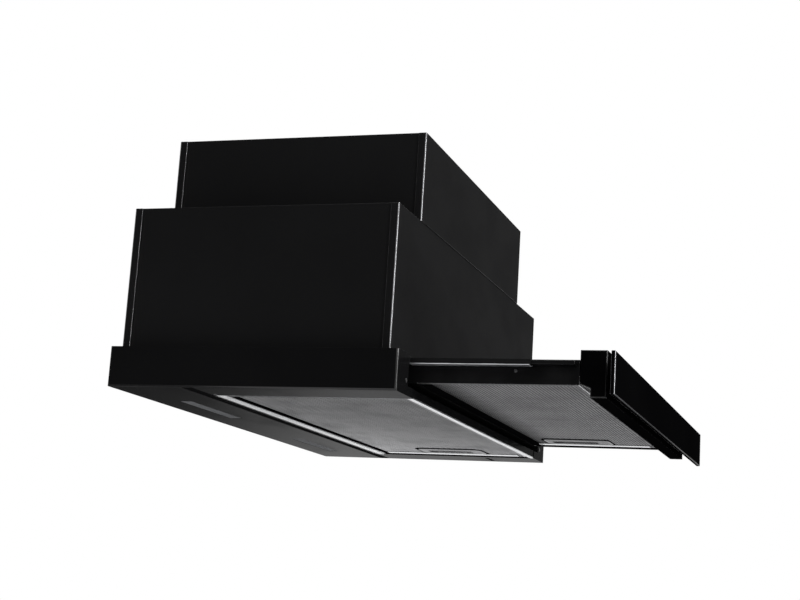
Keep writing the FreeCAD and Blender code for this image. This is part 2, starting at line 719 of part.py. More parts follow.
def make_upper_casing():
    x = (upper_left, upper_right)
    z = (lower_height, upper_top)
    sheets = (upper_front + casing_sheet, upper_back - casing_sheet)
    finish("upper_front_panel", wrapped_panel("upper_front", x, upper_front, upper_front + casing_wrap,
                                              z, casing_bend))
    finish("upper_back_panel", wrapped_panel("upper_back", x, upper_back, upper_back - casing_wrap,
                                             z, casing_bend))
    clear = lower_front + 2 * casing_sheet
    finish("upper_left_panel", side_panel("upper_left", -1, x[0], (clear, sheets[1]), z, []))
    finish("upper_right_panel", side_panel("upper_right", 1, x[1], (clear, sheets[1]), z, []))
    lid = box("upper_top_blank", (x[0] + 2 * casing_sheet, x[1] - 2 * casing_sheet), sheets,
              (z[1] - casing_sheet, z[1]))
    hole = rod("upper_top_hole", "z", outlet_radius - outlet_wall, (z[1] - 2, z[1] + 1),
               (fan_x, outlet_y))
    finish("upper_top_panel", cut("upper_top_cut", lid, hole))


# ---------------------------------------------------------------- outlet
def make_outlet():
    centre = (fan_x, outlet_y)
    base = upper_top
    rim = base + outlet_height
    tube = rod("spigot_tube", "z", outlet_radius, (base, rim), centre)
    flange = box("spigot_flange", (fan_x - outlet_flange / 2, fan_x + outlet_flange / 2),
                 (outlet_y - outlet_flange / 2, outlet_y + outlet_flange / 2),
                 (base, base + outlet_flange_sheet))
    bore = rod("spigot_bore", "z", outlet_radius - outlet_wall, (base - 1, rim + 1), centre)
    pin_z = base + flap_rise
    pin_x = [fan_x - flap_pin_offset, fan_x + flap_pin_offset]
    reach = outlet_radius - 0.4
    pin_holes = [rod(f"spigot_pin_hole_{i}", "y", flap_pin_radius + running,
                     (outlet_y - outlet_radius - 1, outlet_y + outlet_radius + 1), (x, pin_z))
                 for i, x in enumerate(pin_x)]
    finish("outlet_spigot", cut("spigot_cut", join("spigot_joined", tube, flange), bore, *pin_holes))
    pins = [rod(f"flap_pin_{i}", "y", flap_pin_radius, (outlet_y - reach, outlet_y + reach), (x, pin_z))
            for i, x in enumerate(pin_x)]
    finish("flap_pins", group("flap_pin_pair", *pins))
    flap_radius = outlet_radius - outlet_wall - flap_gap
    knuckle_reach = flap_radius - 2
    for side, name, x in ((-1, "left_flap", pin_x[0]), (1, "right_flap", pin_x[1])):
        disc = rod(name + "_disc", "z", flap_radius, (pin_z - flap_sheet / 2, pin_z + flap_sheet / 2),
                   centre)
        keep_x = (x, fan_x + outlet_radius) if side > 0 else (fan_x - outlet_radius, x)
        half_disc = doc.addObject("Part::Common", name + "_half")
        half_disc.Base = disc
        half_disc.Tool = box(name + "_keep", keep_x, (outlet_y - outlet_radius, outlet_y + outlet_radius),
                             (base, rim))
        knuckle = rod(name + "_knuckle", "y", flap_knuckle,
                      (outlet_y - knuckle_reach, outlet_y + knuckle_reach), (x, pin_z))
        bore_tool = rod(name + "_bore", "y", flap_pin_radius + running,
                        (outlet_y - outlet_radius, outlet_y + outlet_radius), (x, pin_z))
        finish(name, cut(name + "_cut", join(name + "_joined", half_disc, knuckle), bore_tool))


# ---------------------------------------------------------------- blower
def scroll_wire(grow):
    """The scroll's open line in the YZ plane, from the tongue round to the outlet, grown outwards."""
    y = fan_centre_y.value
    z = fan_centre_z.value
    step = scroll_step.value
    top = scroll_top.value
    first = scroll_start_radius.value + grow
    tongue = math.radians(115)

    def place(centre, radius, angle):
        return vector(0, centre[0] + radius * math.cos(angle), centre[1] + radius * math.sin(angle))

    # each quarter has a larger radius and a centre moved back by the same step, so they meet smoothly
    centres = [(y, z), (y - step, z), (y - step, z + step)]
    radii = [first, first + step, first + 2 * step]
    arcs = [(tongue, 0), (0, -math.pi / 2), (-math.pi / 2, -math.pi)]
    edges = [Part.Arc(place(c, r, a), place(c, r, (a + b) / 2), place(c, r, b)).toShape()
             for c, r, (a, b) in zip(centres, radii, arcs)]
    tongue_point = place(centres[0], radii[0], tongue)
    end_point = place(centres[2], radii[2], -math.pi)
    up_front = vector(0, end_point.y, top)
    up_back = vector(0, tongue_point.y, top)
    edges.append(Part.LineSegment(end_point, up_front).toShape())
    edges.insert(0, Part.LineSegment(up_back, tongue_point).toShape())
    return edges, up_front, up_back


def scroll_solid(grow, low, high):
    """The filled scroll between two X planes."""
    edges, up_front, up_back = scroll_wire(grow)
    edges.append(Part.LineSegment(up_front, up_back).toShape())
    face = Part.Face(Part.Wire(Part.__sortEdges__(edges)))
    face.translate(vector(low, 0, 0))
    return face.extrude(vector(high - low, 0, 0))


def shape_part(label, shape):
    """A sub-part whose shape is made directly."""
    feature = doc.addObject("Part::Feature", label + "_shape")
    feature.Shape = shape
    return finish(label, feature)


def make_scroll():
    half = scroll_width.value / 2
    centre = fan_x.value
    wall = scroll_sheet.value
    middle = (fan_centre_y.value, fan_centre_z.value)
    outer = scroll_solid(wall, centre - half, centre + half)
    inner = scroll_solid(0, centre - half - 1, centre + half + 1)
    room_above = Part.makeBox(4 * half, 4 * half, 2, vector(centre - 2 * half, middle[0] - 2 * half,
                                                            scroll_top.value - 1))
    shape_part("scroll_wrap", outer.cut(inner).cut(room_above.common(inner)))
    for label, low in (("scroll_left_plate", centre - half - wall), ("scroll_right_plate", centre + half)):
        plate = scroll_solid(wall, low, low + wall)
        eye = Part.makeCylinder(scroll_inlet_radius.value, 4 * wall,
                                vector(low - 2 * wall, middle[0], middle[1]), vector(1, 0, 0))
        shape_part(label, plate.cut(eye))


def make_transition():
    """A thin duct from the scroll's rectangular mouth to the round outlet."""
    wall = scroll_sheet.value
    edges, up_front, up_back = scroll_wire(0)
    half = scroll_width.value / 2
    centre = fan_x.value
    low = scroll_top.value
    high = upper_top.value - casing_sheet.value
    radius = outlet_radius.value - outlet_wall.value

    def skin(grow):
        x0 = centre - half - grow
        x1 = centre + half + grow
        y0 = up_front.y - grow
        y1 = up_back.y + grow
        corners = [vector(x1, y0, low), vector(x1, y1, low), vector(x0, y1, low), vector(x0, y0, low)]
        mouth = Part.makePolygon(corners + corners[:1])
        ring = []
        spot = vector(centre, outlet_y.value, high)
        angles = [math.atan2(corner.y - (y0 + y1) / 2, corner.x - centre) for corner in corners]
        for i in range(4):
            start = angles[i]
            sweep = (angles[(i + 1) % 4] - start) % (2 * math.pi)
            points = [spot + vector((radius + grow) * math.cos(start + sweep * part),
                                    (radius + grow) * math.sin(start + sweep * part), 0)
                      for part in (0, 0.5, 1)]
            ring.append(Part.Arc(*points).toShape())
        return Part.makeLoft([mouth, Part.Wire(ring)], True, True)

    shape_part("outlet_transition", skin(0).cut(skin(-wall)))


def make_impeller():
    """A double-inlet drum: centre disc, hub, two rings and forward-curved blades."""
    body = doc.addObject("PartDesign::Body", "impeller_body")
    planes = [feature for feature in body.Origin.OriginFeatures if feature.Role == "YZ_Plane"]

    def ring_pad(name, radii, low, high):
        outline = body.newObject("Sketcher::SketchObject", name + "_outline")
        outline.AttachmentSupport = [(planes[0], "")]
        outline.MapMode = "FlatFace"
        bind(outline, "AttachmentOffset.Base.z", low)
        spot = vector(fan_centre_y.value, fan_centre_z.value, 0)
        for i, radius in enumerate(radii):
            outline.addGeometry(Part.Circle(spot, vector(0, 0, 1), radius.value), False)
            for kind, size in (("DistanceX", fan_centre_y), ("DistanceY", fan_centre_z)):
                index = outline.addConstraint(Sketcher.Constraint(kind, -1, 1, i, 3, size.value))
                outline.setExpression(f"Constraints[{index}]", size.formula)
            index = outline.addConstraint(Sketcher.Constraint("Radius", i, radius.value))
            outline.setExpression(f"Constraints[{index}]", radius.formula)
        pad = body.newObject("PartDesign::Pad", name + "_pad")
        pad.Profile = outline
        bind(pad, "Length", as_size(high) - low)
        doc.recompute()
        return pad

    half = fan_width / 2
    inner = fan_radius - fan_blade_depth
    rim = 3
    ring_pad("disc", [fan_radius - 1, shaft_radius], fan_x - fan_disc / 2, fan_x + fan_disc / 2)
    ring_pad("hub", [fan_hub_radius, shaft_radius], fan_x - 8, fan_x + 3)
    blade_outline = body.newObject("Sketcher::SketchObject", "blade_outline")
    blade_outline.AttachmentSupport = [(planes[0], "")]
    blade_outline.MapMode = "FlatFace"
    bind(blade_outline, "AttachmentOffset.Base.z", fan_x - half)
    thick = 1.2
    start = (fan_centre_y + inner, fan_centre_z)
    lean = fan_blade_depth * 0.45
    corners = [start, (start[0] + fan_blade_depth * 0.6, start[1] + lean * 0.35),
               (start[0] + fan_blade_depth - 0.5, start[1] + lean),
               (start[0] + fan_blade_depth - 0.5, start[1] + lean + thick),
               (start[0] + fan_blade_depth * 0.6, start[1] + lean * 0.35 + thick),
               (start[0], start[1] + thick)]
    for i in range(6):
        here = corners[i]
        following = corners[(i + 1) % 6]
        blade_outline.addGeometry(Part.LineSegment(vector(here[0].value, here[1].value, 0),
                                                   vector(following[0].value, following[1].value, 0)), False)
    for i in range(6):
        blade_outline.addConstraint(Sketcher.Constraint("Coincident", i, 2, (i + 1) % 6, 1))
    for i in range(6):
        for kind, size in zip(("DistanceX", "DistanceY"), corners[i]):
            index = blade_outline.addConstraint(Sketcher.Constraint(kind, -1, 1, i, 1, size.value))
            blade_outline.setExpression(f"Constraints[{index}]", size.formula)
    blade = body.newObject("PartDesign::Pad", "blade_pad")
    blade.Profile = blade_outline
    bind(blade, "Length", fan_width)
    doc.recompute()
    # the pattern turns about the fan's axis, held by a small datum line
    axis = body.newObject("PartDesign::Line", "fan_axis")
    axis.Placement = FreeCAD.Placement(vector(0, 0, 0), FreeCAD.Rotation(vector(0, 1, 0), 90))
    bind(axis, "Placement.Base.y", fan_centre_y)
    bind(axis, "Placement.Base.z", fan_centre_z)
    pattern = body.newObject("PartDesign::PolarPattern", "blade_pattern")
    pattern.Originals = [blade]
    pattern.Axis = (axis, [""])
    pattern.Angle = 360
    pattern.Occurrences = fan_blades
    body.Tip = pattern
    doc.recompute()
    ring_pad("left_ring", [fan_radius, inner], fan_x - half, fan_x - half + rim)
    ring_pad("right_ring", [fan_radius, inner], fan_x + half - rim, fan_x + half)
    finish("impeller", body)


def make_motor():
    centre = (fan_centre_y, fan_centre_z)
    start = fan_x + motor_from_disc
    stop = start + motor_length
    can = rod("motor_can", "x", motor_radius, (start, stop), centre)
    bell = rod("motor_bell", "x", motor_radius * 0.7, (start - 3, stop + 6), centre)
    nose = rod("motor_nose", "x", shaft_radius * 2.2, (start - 6, stop + 9), centre)
    bore = rod("motor_bore", "x", shaft_radius + running, (start - 7, stop + 5), centre)
    finish("motor", cut("motor_cut", join("motor_joined", can, bell, nose), bore))
    finish("motor_shaft", rod("motor_shaft_rod", "x", shaft_radius, (fan_x - 10, stop), centre))
    plate = fan_x + scroll_width / 2 + scroll_sheet
    ends = (plate, plate + bracket_sheet)
    ring_out = rod("bracket_ring_out", "x", scroll_inlet_radius + 10, ends, centre)
    ring_in = rod("bracket_ring_in", "x", scroll_inlet_radius - 1, (ends[0] - 1, ends[1] + 1), centre)
    ring = cut("bracket_ring", ring_out, ring_in)
    cup_out = rod("bracket_cup_out", "x", motor_radius + bracket_sheet, (stop - 14, ends[1]), centre)
    cup_room = rod("bracket_cup_in", "x", motor_radius, (stop - 15, ends[1] + 1), centre)
    arms = []
    for i in range(3):
        arm = box(f"bracket_arm_{i}", (0, bracket_sheet), (-bracket_arm / 2, bracket_arm / 2),
                  (motor_radius, scroll_inlet_radius + 2))
        turn = FreeCAD.Rotation(vector(1, 0, 0), 60 + 120 * i)
        arm.Placement = FreeCAD.Placement(vector(0, 0, 0), turn)
        lift = motor_radius.value * math.cos(math.radians(60 + 120 * i))
        side = -motor_radius.value * math.sin(math.radians(60 + 120 * i))
        shift = turn.multVec(vector(0, -bracket_arm.value / 2, 0))
        bind(arm, "Placement.Base.x", ends[0])
        bind(arm, "Placement.Base.y", fan_centre_y + (side + shift.y))
        bind(arm, "Placement.Base.z", fan_centre_z + (lift + shift.z))
        arms.append(arm)
    finish("motor_bracket", cut("bracket_cut", join("bracket_joined", ring, cup_out, *arms), cup_room))


# ---------------------------------------------------------------- electrics
def gland_centre():
    """X and Y of the mains inlet, on the lower casing's top beside the upper casing."""
    return (upper_right + lower_half) / 2, lower_back - 34


def make_electrics():
    wall = lower_back - casing_sheet
    finish("run_capacitor", rod("capacitor_can", "y", capacitor_radius, (wall - capacitor_length, wall),
                                (fan_x + 160, fan_centre_z - 40)))
    x, y = gland_centre()
    roof = lower_height - casing_sheet
    shell = box("terminal_blank", (x - 30, x + 30), (y - 24, y + 24), (roof - 34, roof))
    room = box("terminal_room", (x - 28, x + 28), (y - 22, y + 22), (roof - 32, roof - 2))
    entry = rod("terminal_entry", "z", gland_radius - 2, (roof - 3, roof + 1), (x, y))
    finish("terminal_box", cut("terminal_cut", shell, room, entry))
    block = box("terminal_block_bar", (x - 22, x + 22), (y - 8, y + 8), (roof - 32, roof - 18))
    finish("terminal_block", block)
    hat = rod("gland_hat", "z", gland_radius, (lower_height, lower_height + 9), (x, y))
    stem = rod("gland_stem", "z", gland_radius - 2 - loose, (roof - 5, lower_height), (x, y))
    hole = rod("gland_hole", "z", gland_bore, (roof - 6, lower_height + 10), (x, y))
    finish("cable_gland", cut("gland_cut", join("gland_joined", hat, stem), hole))


# ---------------------------------------------------------------- telescopic slides
def make_slides():
    outer = []
    inner = []
    outer_y = (front, front + slide_length)
    middle_y = (front - middle_reach, front - middle_reach + middle_length)
    top = slide_z + slide_half_height
    bottom = slide_z - slide_half_height
    tip = slide_x - slide_depth
    for side, name in ((-1, "left"), (1, "right")):
        web = slide_x - slide_wall
        corners = [(slide_x, bottom), (slide_x, top), (tip, top), (tip, top - slide_wall),
                   (web, top - slide_wall), (web, bottom + slide_wall), (tip, bottom + slide_wall),
                   (tip, bottom)]
        outer.append(prism(f"outer_slide_{name}", "y", [[(side * x, z) for x, z in corners]], outer_y))
        high = slide_z + middle_half
        low = slide_z - middle_half
        back_face = web - slide_gap
        web_face = back_face - middle_wall
        end = carriage_half + 3
        corners = [(back_face, low), (back_face, high), (end, high), (end, high - middle_wall),
                   (web_face, high - middle_wall), (web_face, low + middle_wall),
                   (end, low + middle_wall), (end, low)]
        finish(f"{name}_middle_slide",
               prism(f"{name}_middle_body", "y", [[(side * x, z) for x, z in corners]], middle_y))
        inner.append(box(f"inner_slide_{name}", span(side, carriage_half, web_face - slide_gap),
                         (bar_y[0] + 2, bar_y[1]), (slide_z - inner_half, slide_z + inner_half)))
    finish("outer_slides", group("outer_slide_pair", *outer))
    finish("inner_slides", group("inner_slide_pair", *inner))


# ---------------------------------------------------------------- carriage
def make_bars():
    face = carriage_half
    for side, name in ((-1, "left_carriage_bar"), (1, "right_carriage_bar")):
        web = face - bar_sheet
        corners = [(face, bar_bottom), (face, bar_top), (face - bar_top_flange, bar_top),
                   (face - bar_top_flange, bar_top - bar_sheet), (web, bar_top - bar_sheet),
                   (web, bar_bottom + bar_sheet), (face - bar_bottom_flange, bar_bottom + bar_sheet),
                   (face - bar_bottom_flange, bar_bottom)]
        finish(name, prism(name + "_body", "y", [[(side * x, z) for x, z in corners]], bar_y))
    heads = [rod(f"rivet_{side}_{i}", "x", rivet_radius,
                 (side * face - (rivet_height if side < 0 else 0),
                  side * face + (rivet_height if side > 0 else 0)),
                 (bar_y[0] + spot, bar_bottom + bar_height * 0.55))
             for side in (-1, 1) for i, spot in enumerate((58.5, 200))]
    finish("carriage_rivets", group("rivet_set", *heads))


def make_carriage_frame():
    x = carriage_half - bar_sheet
    rail_z = (bar_bottom + bar_sheet, bar_bottom + 8)
    rail = box("carriage_rail_bar", (-x, x), (carriage_rail_y, carriage_rail_y + rear_rail_thick), rail_z)
    pin_hole = filter_pin_hole("carriage_rail_hole", carriage_filter_z,
                               (carriage_rail_y - 1, carriage_rail_y + 2 * filter_pin_grip + loose))
    finish("carriage_rear_rail", cut("carriage_rail_cut", rail, pin_hole))
    finish("carriage_top_cover", box("carriage_cover_sheet", (-carriage_half + 1, carriage_half - 1),
                                     (carriage_rear_face, carriage_rail_y + rear_rail_thick),
                                     (bar_top, bar_top + cover_sheet)))


def crossbar_outline():
    """The crossbar seen from the side, with its stepped lower rear."""
    return [(crossbar_y[0], -crossbar_below), (crossbar_foot_y, -crossbar_below),
            (crossbar_foot_y, -cap_step_drop - cap_step_slope), (crossbar_y[1], -cap_step_drop),
            (crossbar_y[1], crossbar_above), (crossbar_y[0], crossbar_above)]


def make_crossbar():
    wall = crossbar_wall
    inner = [(crossbar_y[0] + wall, -crossbar_below + wall), (crossbar_foot_y - wall, -crossbar_below + wall),
             (crossbar_foot_y - wall, -cap_step_drop - cap_step_slope + wall),
             (crossbar_y[1] - wall, -cap_step_drop + wall), (crossbar_y[1] - wall, crossbar_above - wall),
             (crossbar_y[0] + wall, crossbar_above - wall)]
    end = crossbar_half - crossbar_cap
    tube = prism("crossbar_tube", "x", [crossbar_outline(), inner], (-end, end))
    pin_hole = filter_pin_hole("crossbar_pin_hole", carriage_filter_z,
                               (crossbar_y[1] - wall - 1, crossbar_y[1] + 1))
    x, y = switch_place()
    switch_gap = box("crossbar_switch_gap", (x[0] - loose, x[1] + loose), (y[0] - loose, y[1] + loose),
                     (crossbar_above - 2 * wall, crossbar_above + 1))
    finish("crossbar", cut("crossbar_cut", tube, pin_hole, switch_gap))
    caps = []
    for side in (-1, 1):
        body = prism(f"crossbar_cap_{side}", "x", [crossbar_outline()], span(side, end, crossbar_half))
        caps.append(round_body(body, cap_edge, lambda edge: at(crossbar_half, abs(edge.BoundBox.XMin))
                               and at(crossbar_half, abs(edge.BoundBox.XMax))))
    finish("crossbar_caps", group("crossbar_cap_pair", *caps))


def switch_place():
    """X and Y stretches of the switch housing in the crossbar's top, at the user's right."""
    x_end = crossbar_half - crossbar_cap - switch_from_end
    middle = (crossbar_y[0] + crossbar_y[1]) / 2
    return ((x_end - switch_length, x_end), (middle - switch_width / 2, middle + switch_width / 2))


def make_switches():
    x, y = switch_place()
    middle = (y[0] + y[1]) / 2
    case = box("switch_case", x, y, (crossbar_above - switch_drop, crossbar_above))
    slots = []
    knob_z = (crossbar_above - knob_depth + loose, crossbar_above + knob_rise)
    knob_y = (middle - knob_width / 2, middle + knob_width / 2)
    margin = 6
    starts = {"light_switch": (x[0] + margin, light_travel),
              "speed_switch": (x[0] + 2 * margin + knob_length + light_travel + 2 * loose, speed_travel)}
    for name, (start, travel) in starts.items():
        slots.append(box(name + "_slot", (start, start + knob_length + travel + 2 * loose),
                         (knob_y[0] - loose, knob_y[1] + loose), (crossbar_above - knob_depth,
                                                                  crossbar_above + 1)))
        finish(name, box(name + "_knob", (start + loose, start + loose + knob_length), knob_y, knob_z))
    rim = box("switch_rim", (x[0] - switch_lip, x[1] + switch_lip), (y[0] - switch_lip, y[1] + switch_lip),
              (crossbar_above, crossbar_above + switch_lip_height))
    finish("switch_housing", cut("switch_cut", join("switch_joined", case, rim), *slots))


def make_fascia():
    x = (-fascia_width / 2, fascia_width / 2)
    z = (fascia_above - fascia_height, fascia_above)
    plate = prism("fascia_plate", "x", [[(fascia_y[0], z[0]), (fascia_y[1], z[0]), (fascia_y[1], z[1]),
                                         (fascia_y[0], z[1])]], x)
    finish("fascia_panel", round_body(plate, fascia_edge, lambda edge: at(fascia_y[0], edge.BoundBox.YMin)
                                      and at(fascia_y[0], edge.BoundBox.YMax)))
    brackets = []
    for side in (-1, 1):
        centre = side * fascia_bracket_spacing / 2
        half = fascia_bracket_width / 2
        block = box(f"fascia_bracket_block_{side}", (centre - half, centre + half),
                    (fascia_y[1], crossbar_y[0]), (z[0] + 8, z[1] - 5))
        hollow = box(f"fascia_bracket_hollow_{side}", (centre - half + 2, centre + half - 2),
                     (fascia_y[1] + 2, crossbar_y[0] - 2), (z[0] + 7, z[1] - 4))
        brackets.append(cut(f"fascia_bracket_{side}", block, hollow))
    finish("fascia_brackets", group("fascia_bracket_pair", *brackets))


make_base_tray()
make_slide_brackets()
make_lamps()
make_rails()
make_led_driver()
make_filter("fixed_filter", fixed_filter_y, fixed_filter_depth, fixed_filter_z, fixed_handle_from_rear)
make_lower_casing()
make_upper_casing()
make_outlet()
make_scroll()
make_transition()
make_impeller()
make_motor()
make_electrics()
make_slides()
make_bars()
make_carriage_frame()
make_crossbar()
make_switches()
make_fascia()
make_filter("carriage_filter", carriage_filter_y, carriage_filter_depth, carriage_filter_z,
            carriage_handle_from_rear)

# ---------------------------------------------------------------- checks and files
doc.recompute()
for thing in doc.Objects:
    if "Invalid" in thing.State or "Error" in thing.State:
        raise RuntimeError(f"{thing.Label} failed: {thing.State}")
labels = [thing.Label for thing in subparts]
if len(set(labels)) != len(labels):
    raise RuntimeError("two sub-parts share a name")
os.makedirs("parts", exist_ok=True)
for thing in subparts:
    shape = thing.Shape
    if shape.isNull() or not shape.isValid() or not shape.Solids:
        raise RuntimeError(f"{thing.Label} has no valid solid")
    shape.exportStep(f"parts/{thing.Label}.step")
print(f"{len(subparts)} sub-parts written")
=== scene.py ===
import json
import math

import bmesh
import bpy
from mathutils import Matrix, Vector


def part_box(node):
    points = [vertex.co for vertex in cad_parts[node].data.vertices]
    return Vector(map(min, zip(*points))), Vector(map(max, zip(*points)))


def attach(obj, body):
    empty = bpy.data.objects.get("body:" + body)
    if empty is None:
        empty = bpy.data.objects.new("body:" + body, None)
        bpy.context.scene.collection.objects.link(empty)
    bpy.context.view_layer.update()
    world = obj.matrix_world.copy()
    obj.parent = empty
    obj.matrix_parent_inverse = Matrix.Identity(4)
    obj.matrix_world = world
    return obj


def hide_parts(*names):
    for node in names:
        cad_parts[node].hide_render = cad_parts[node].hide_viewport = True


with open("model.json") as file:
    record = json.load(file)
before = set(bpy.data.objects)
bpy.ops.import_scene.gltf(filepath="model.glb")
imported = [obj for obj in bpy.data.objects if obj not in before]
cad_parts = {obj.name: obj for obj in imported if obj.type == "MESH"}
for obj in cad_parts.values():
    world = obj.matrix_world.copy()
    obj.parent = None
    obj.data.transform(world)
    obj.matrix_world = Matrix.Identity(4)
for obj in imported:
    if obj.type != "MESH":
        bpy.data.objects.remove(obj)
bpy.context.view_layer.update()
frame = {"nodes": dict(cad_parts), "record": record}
nodes = frame["nodes"]
mm = 0.001
filters = ("fixed_filter", "carriage_filter")


# shared helpers for node trees

def surfaceOf(tree):  # where a material's shader goes in
    return next(node for node in tree.nodes if node.type == "OUTPUT_MATERIAL").inputs["Surface"]


def newMaterial(name):
    material = bpy.data.materials.new(name)
    material.use_nodes = True
    tree = material.node_tree
    for node in list(tree.nodes):
        if node.type != "OUTPUT_MATERIAL":
            tree.nodes.remove(node)
    shader = tree.nodes.new("ShaderNodeBsdfPrincipled")
    tree.links.new(shader.outputs["BSDF"], surfaceOf(tree))
    return material, tree, shader


def newGroup(name, inputs, outputs):  # inputs come with their usual values; every output is a number
    group = bpy.data.node_groups.new(name, "ShaderNodeTree")
    for label, value in inputs.items():
        kind = "NodeSocketVector" if isinstance(value, tuple) else "NodeSocketFloat"
        group.interface.new_socket(label, in_out="INPUT", socket_type=kind).default_value = value
    for label in outputs:
        group.interface.new_socket(label, in_out="OUTPUT", socket_type="NodeSocketFloat")
    return group, group.nodes.new("NodeGroupInput").outputs, group.nodes.new("NodeGroupOutput").inputs


def useGroup(tree, group, **values):
    node = tree.nodes.new("ShaderNodeGroup")
    node.node_tree = group
    for label, value in values.items():
        feed(tree, value, node.inputs[label])
    return node.outputs


def feed(tree, value, socket):  # a link from a socket, or a plain value
    if isinstance(value, bpy.types.NodeSocket):
        tree.links.new(value, socket)
    elif value is not None:
        socket.default_value = value


def calc(tree, operation, first, second=None, clamp=False):
    node = tree.nodes.new("ShaderNodeMath")
    node.operation = operation
    node.use_clamp = clamp
    feed(tree, first, node.inputs[0])
    feed(tree, second, node.inputs[1])
    return node.outputs[0]


def times(tree, product, *factors):
    for factor in factors:
        product = calc(tree, "MULTIPLY", product, factor)
    return product


def mixColour(tree, factor, first, second):
    node = tree.nodes.new("ShaderNodeMix")
    node.data_type = "RGBA"
    feed(tree, factor, node.inputs["Factor"])
    feed(tree, first, node.inputs[6])  # 6 and 7 are the colour sockets
    feed(tree, second, node.inputs[7])
    return node.outputs[2]


def noise(tree, vector, scale, detail=3.0, roughness=0.55):
    node = tree.nodes.new("ShaderNodeTexNoise")
    for label, value in (("Vector", vector), ("Scale", scale), ("Detail", detail),
                         ("Roughness", roughness)):
        feed(tree, value, node.inputs[label])
    return node.outputs["Fac"]


def bands(tree, vector, pitch, distortion=0.0, detailScale=1.0, direction="X"):  # stripes, pitch in mm
    node = tree.nodes.new("ShaderNodeTexWave")
    node.bands_direction = direction
    node.inputs["Scale"].default_value = 2 * math.pi / (20.0 * pitch * mm)  # it turns 20 radians a metre
    node.inputs["Distortion"].default_value = distortion
    node.inputs["Detail Scale"].default_value = detailScale
    tree.links.new(vector, node.inputs["Vector"])
    return node.outputs["Fac"]


def ramp(tree, value, low, high, lowOut=0.0, highOut=1.0):
    node = tree.nodes.new("ShaderNodeMapRange")
    node.clamp = True
    for label, number in (("Value", value), ("From Min", low), ("From Max", high), ("To Min", lowOut),
                          ("To Max", highOut)):
        feed(tree, number, node.inputs[label])
    return node.outputs["Result"]


def axes(tree, vector):  # the X, Y and Z of a vector
    node = tree.nodes.new("ShaderNodeSeparateXYZ")
    tree.links.new(vector, node.inputs["Vector"])
    return node.outputs


def objectPlace(tree):
    return tree.nodes.new("ShaderNodeTexCoord").outputs["Object"]


def bumpInto(tree, shader, height, strength, distance):
    bump = tree.nodes.new("ShaderNodeBump")
    bump.inputs["Strength"].default_value = strength
    bump.inputs["Distance"].default_value = distance
    tree.links.new(height, bump.inputs["Height"])
    tree.links.new(bump.outputs["Normal"], shader.inputs["Normal"])


# effects that several finishes share

def makeSmudges():  # wiped and handled patches: a mask that is mostly dark with soft streaks
    group, given, result = newGroup("Handling marks", {"Size": 9.0}, ["Mask"])
    place = objectPlace(group)
    stretch = group.nodes.new("ShaderNodeMapping")
    stretch.inputs["Scale"].default_value = (1.0, 2.2, 1.6)
    stretch.inputs["Rotation"].default_value = (0.3, 0.5, 0.7)
    group.links.new(place, stretch.inputs["Vector"])
    broad = ramp(group, noise(group, stretch.outputs["Vector"], given["Size"], 4.0, 0.5), 0.48, 0.78)
    fine = ramp(group, noise(group, place, 240.0, 2.0), 0.2, 0.7, 0.5, 1.0)
    feed(group, times(group, broad, fine), result["Mask"])
    return group


def makeDust():  # fine dust that settles on what faces up
    group, given, result = newGroup("Settled dust", {"Amount": 0.4}, ["Mask"])
    normal = group.nodes.new("ShaderNodeNewGeometry").outputs["Normal"]
    up = ramp(group, axes(group, normal)["Z"], 0.6, 1.0)
    place = objectPlace(group)
    patches = ramp(group, noise(group, place, 14.0, 5.0), 0.35, 0.75, 0.25, 1.0)
    specks = ramp(group, noise(group, place, 900.0, 1.0), 0.5, 0.72, 0.35, 1.0)
    feed(group, times(group, patches, specks, up, given["Amount"]), result["Mask"])
    return group


alongX, alongY = (0.02, 1.0, 1.0), (1.0, 0.02, 1.0)  # the way that rolled lines run


def makeGrain():  # fine rolled or brushed lines, and the broad blotches of handled metal
    group, given, result = newGroup("Rolled grain", {"Along": alongY, "Fineness": 900.0},
                                    ["Lines", "Blotches"])
    place = objectPlace(group)
    drawn = group.nodes.new("ShaderNodeVectorMath")
    drawn.operation = "MULTIPLY"
    feed(group, place, drawn.inputs[0])
    feed(group, given["Along"], drawn.inputs[1])
    feed(group, noise(group, drawn.outputs["Vector"], given["Fineness"], 3.0, 0.5), result["Lines"])
    feed(group, noise(group, place, 22.0, 4.0), result["Blotches"])
    return group


def makeBendShine():  # folds and rounded edges, where the coat is stretched and polished by hands; on upright corners the enamel also paints a highlight
    group, given, result = newGroup("Shine on bends", {"Start": 0.05, "Full": 0.3}, ["Mask", "Upright"])
    normal = axes(group, group.nodes.new("ShaderNodeTexCoord").outputs["Normal"])
    sizes = [calc(group, "ABSOLUTE", normal[axis]) for axis in "XYZ"]
    pairs = [times(group, sizes[i], sizes[(i + 1) % 3]) for i in range(3)]
    anyBend = calc(group, "ADD", calc(group, "ADD", pairs[0], pairs[1]), pairs[2])
    for label, bend in (("Mask", anyBend), ("Upright", pairs[0])):
        feed(group, ramp(group, bend, given["Start"], given["Full"]), result[label])
    return group


def makeSpan():  # a soft-edged stretch of the part between two places along Y, in metres
    group, given, result = newGroup("Stretch along Y", {"From": 0.0, "To": 0.1, "Soft": 0.001}, ["Mask"])
    y = axes(group, objectPlace(group))["Y"]
    rise = ramp(group, y, calc(group, "SUBTRACT", given["From"], given["Soft"]), given["From"])
    fall = ramp(group, y, calc(group, "ADD", given["To"], given["Soft"]), given["To"])
    feed(group, times(group, rise, fall), result["Mask"])
    return group


smudges = makeSmudges()
dust = makeDust()
grain = makeGrain()
bendShine = makeBendShine()
span = makeSpan()
print("stage: shared effects")


def bendsOf(tree):
    return useGroup(tree, bendShine, Start=0.05, Full=0.3)


def within(tree, start, end, soft):
    return useGroup(tree, span, From=start, To=end, Soft=soft)["Mask"]


# painted and plastic finishes

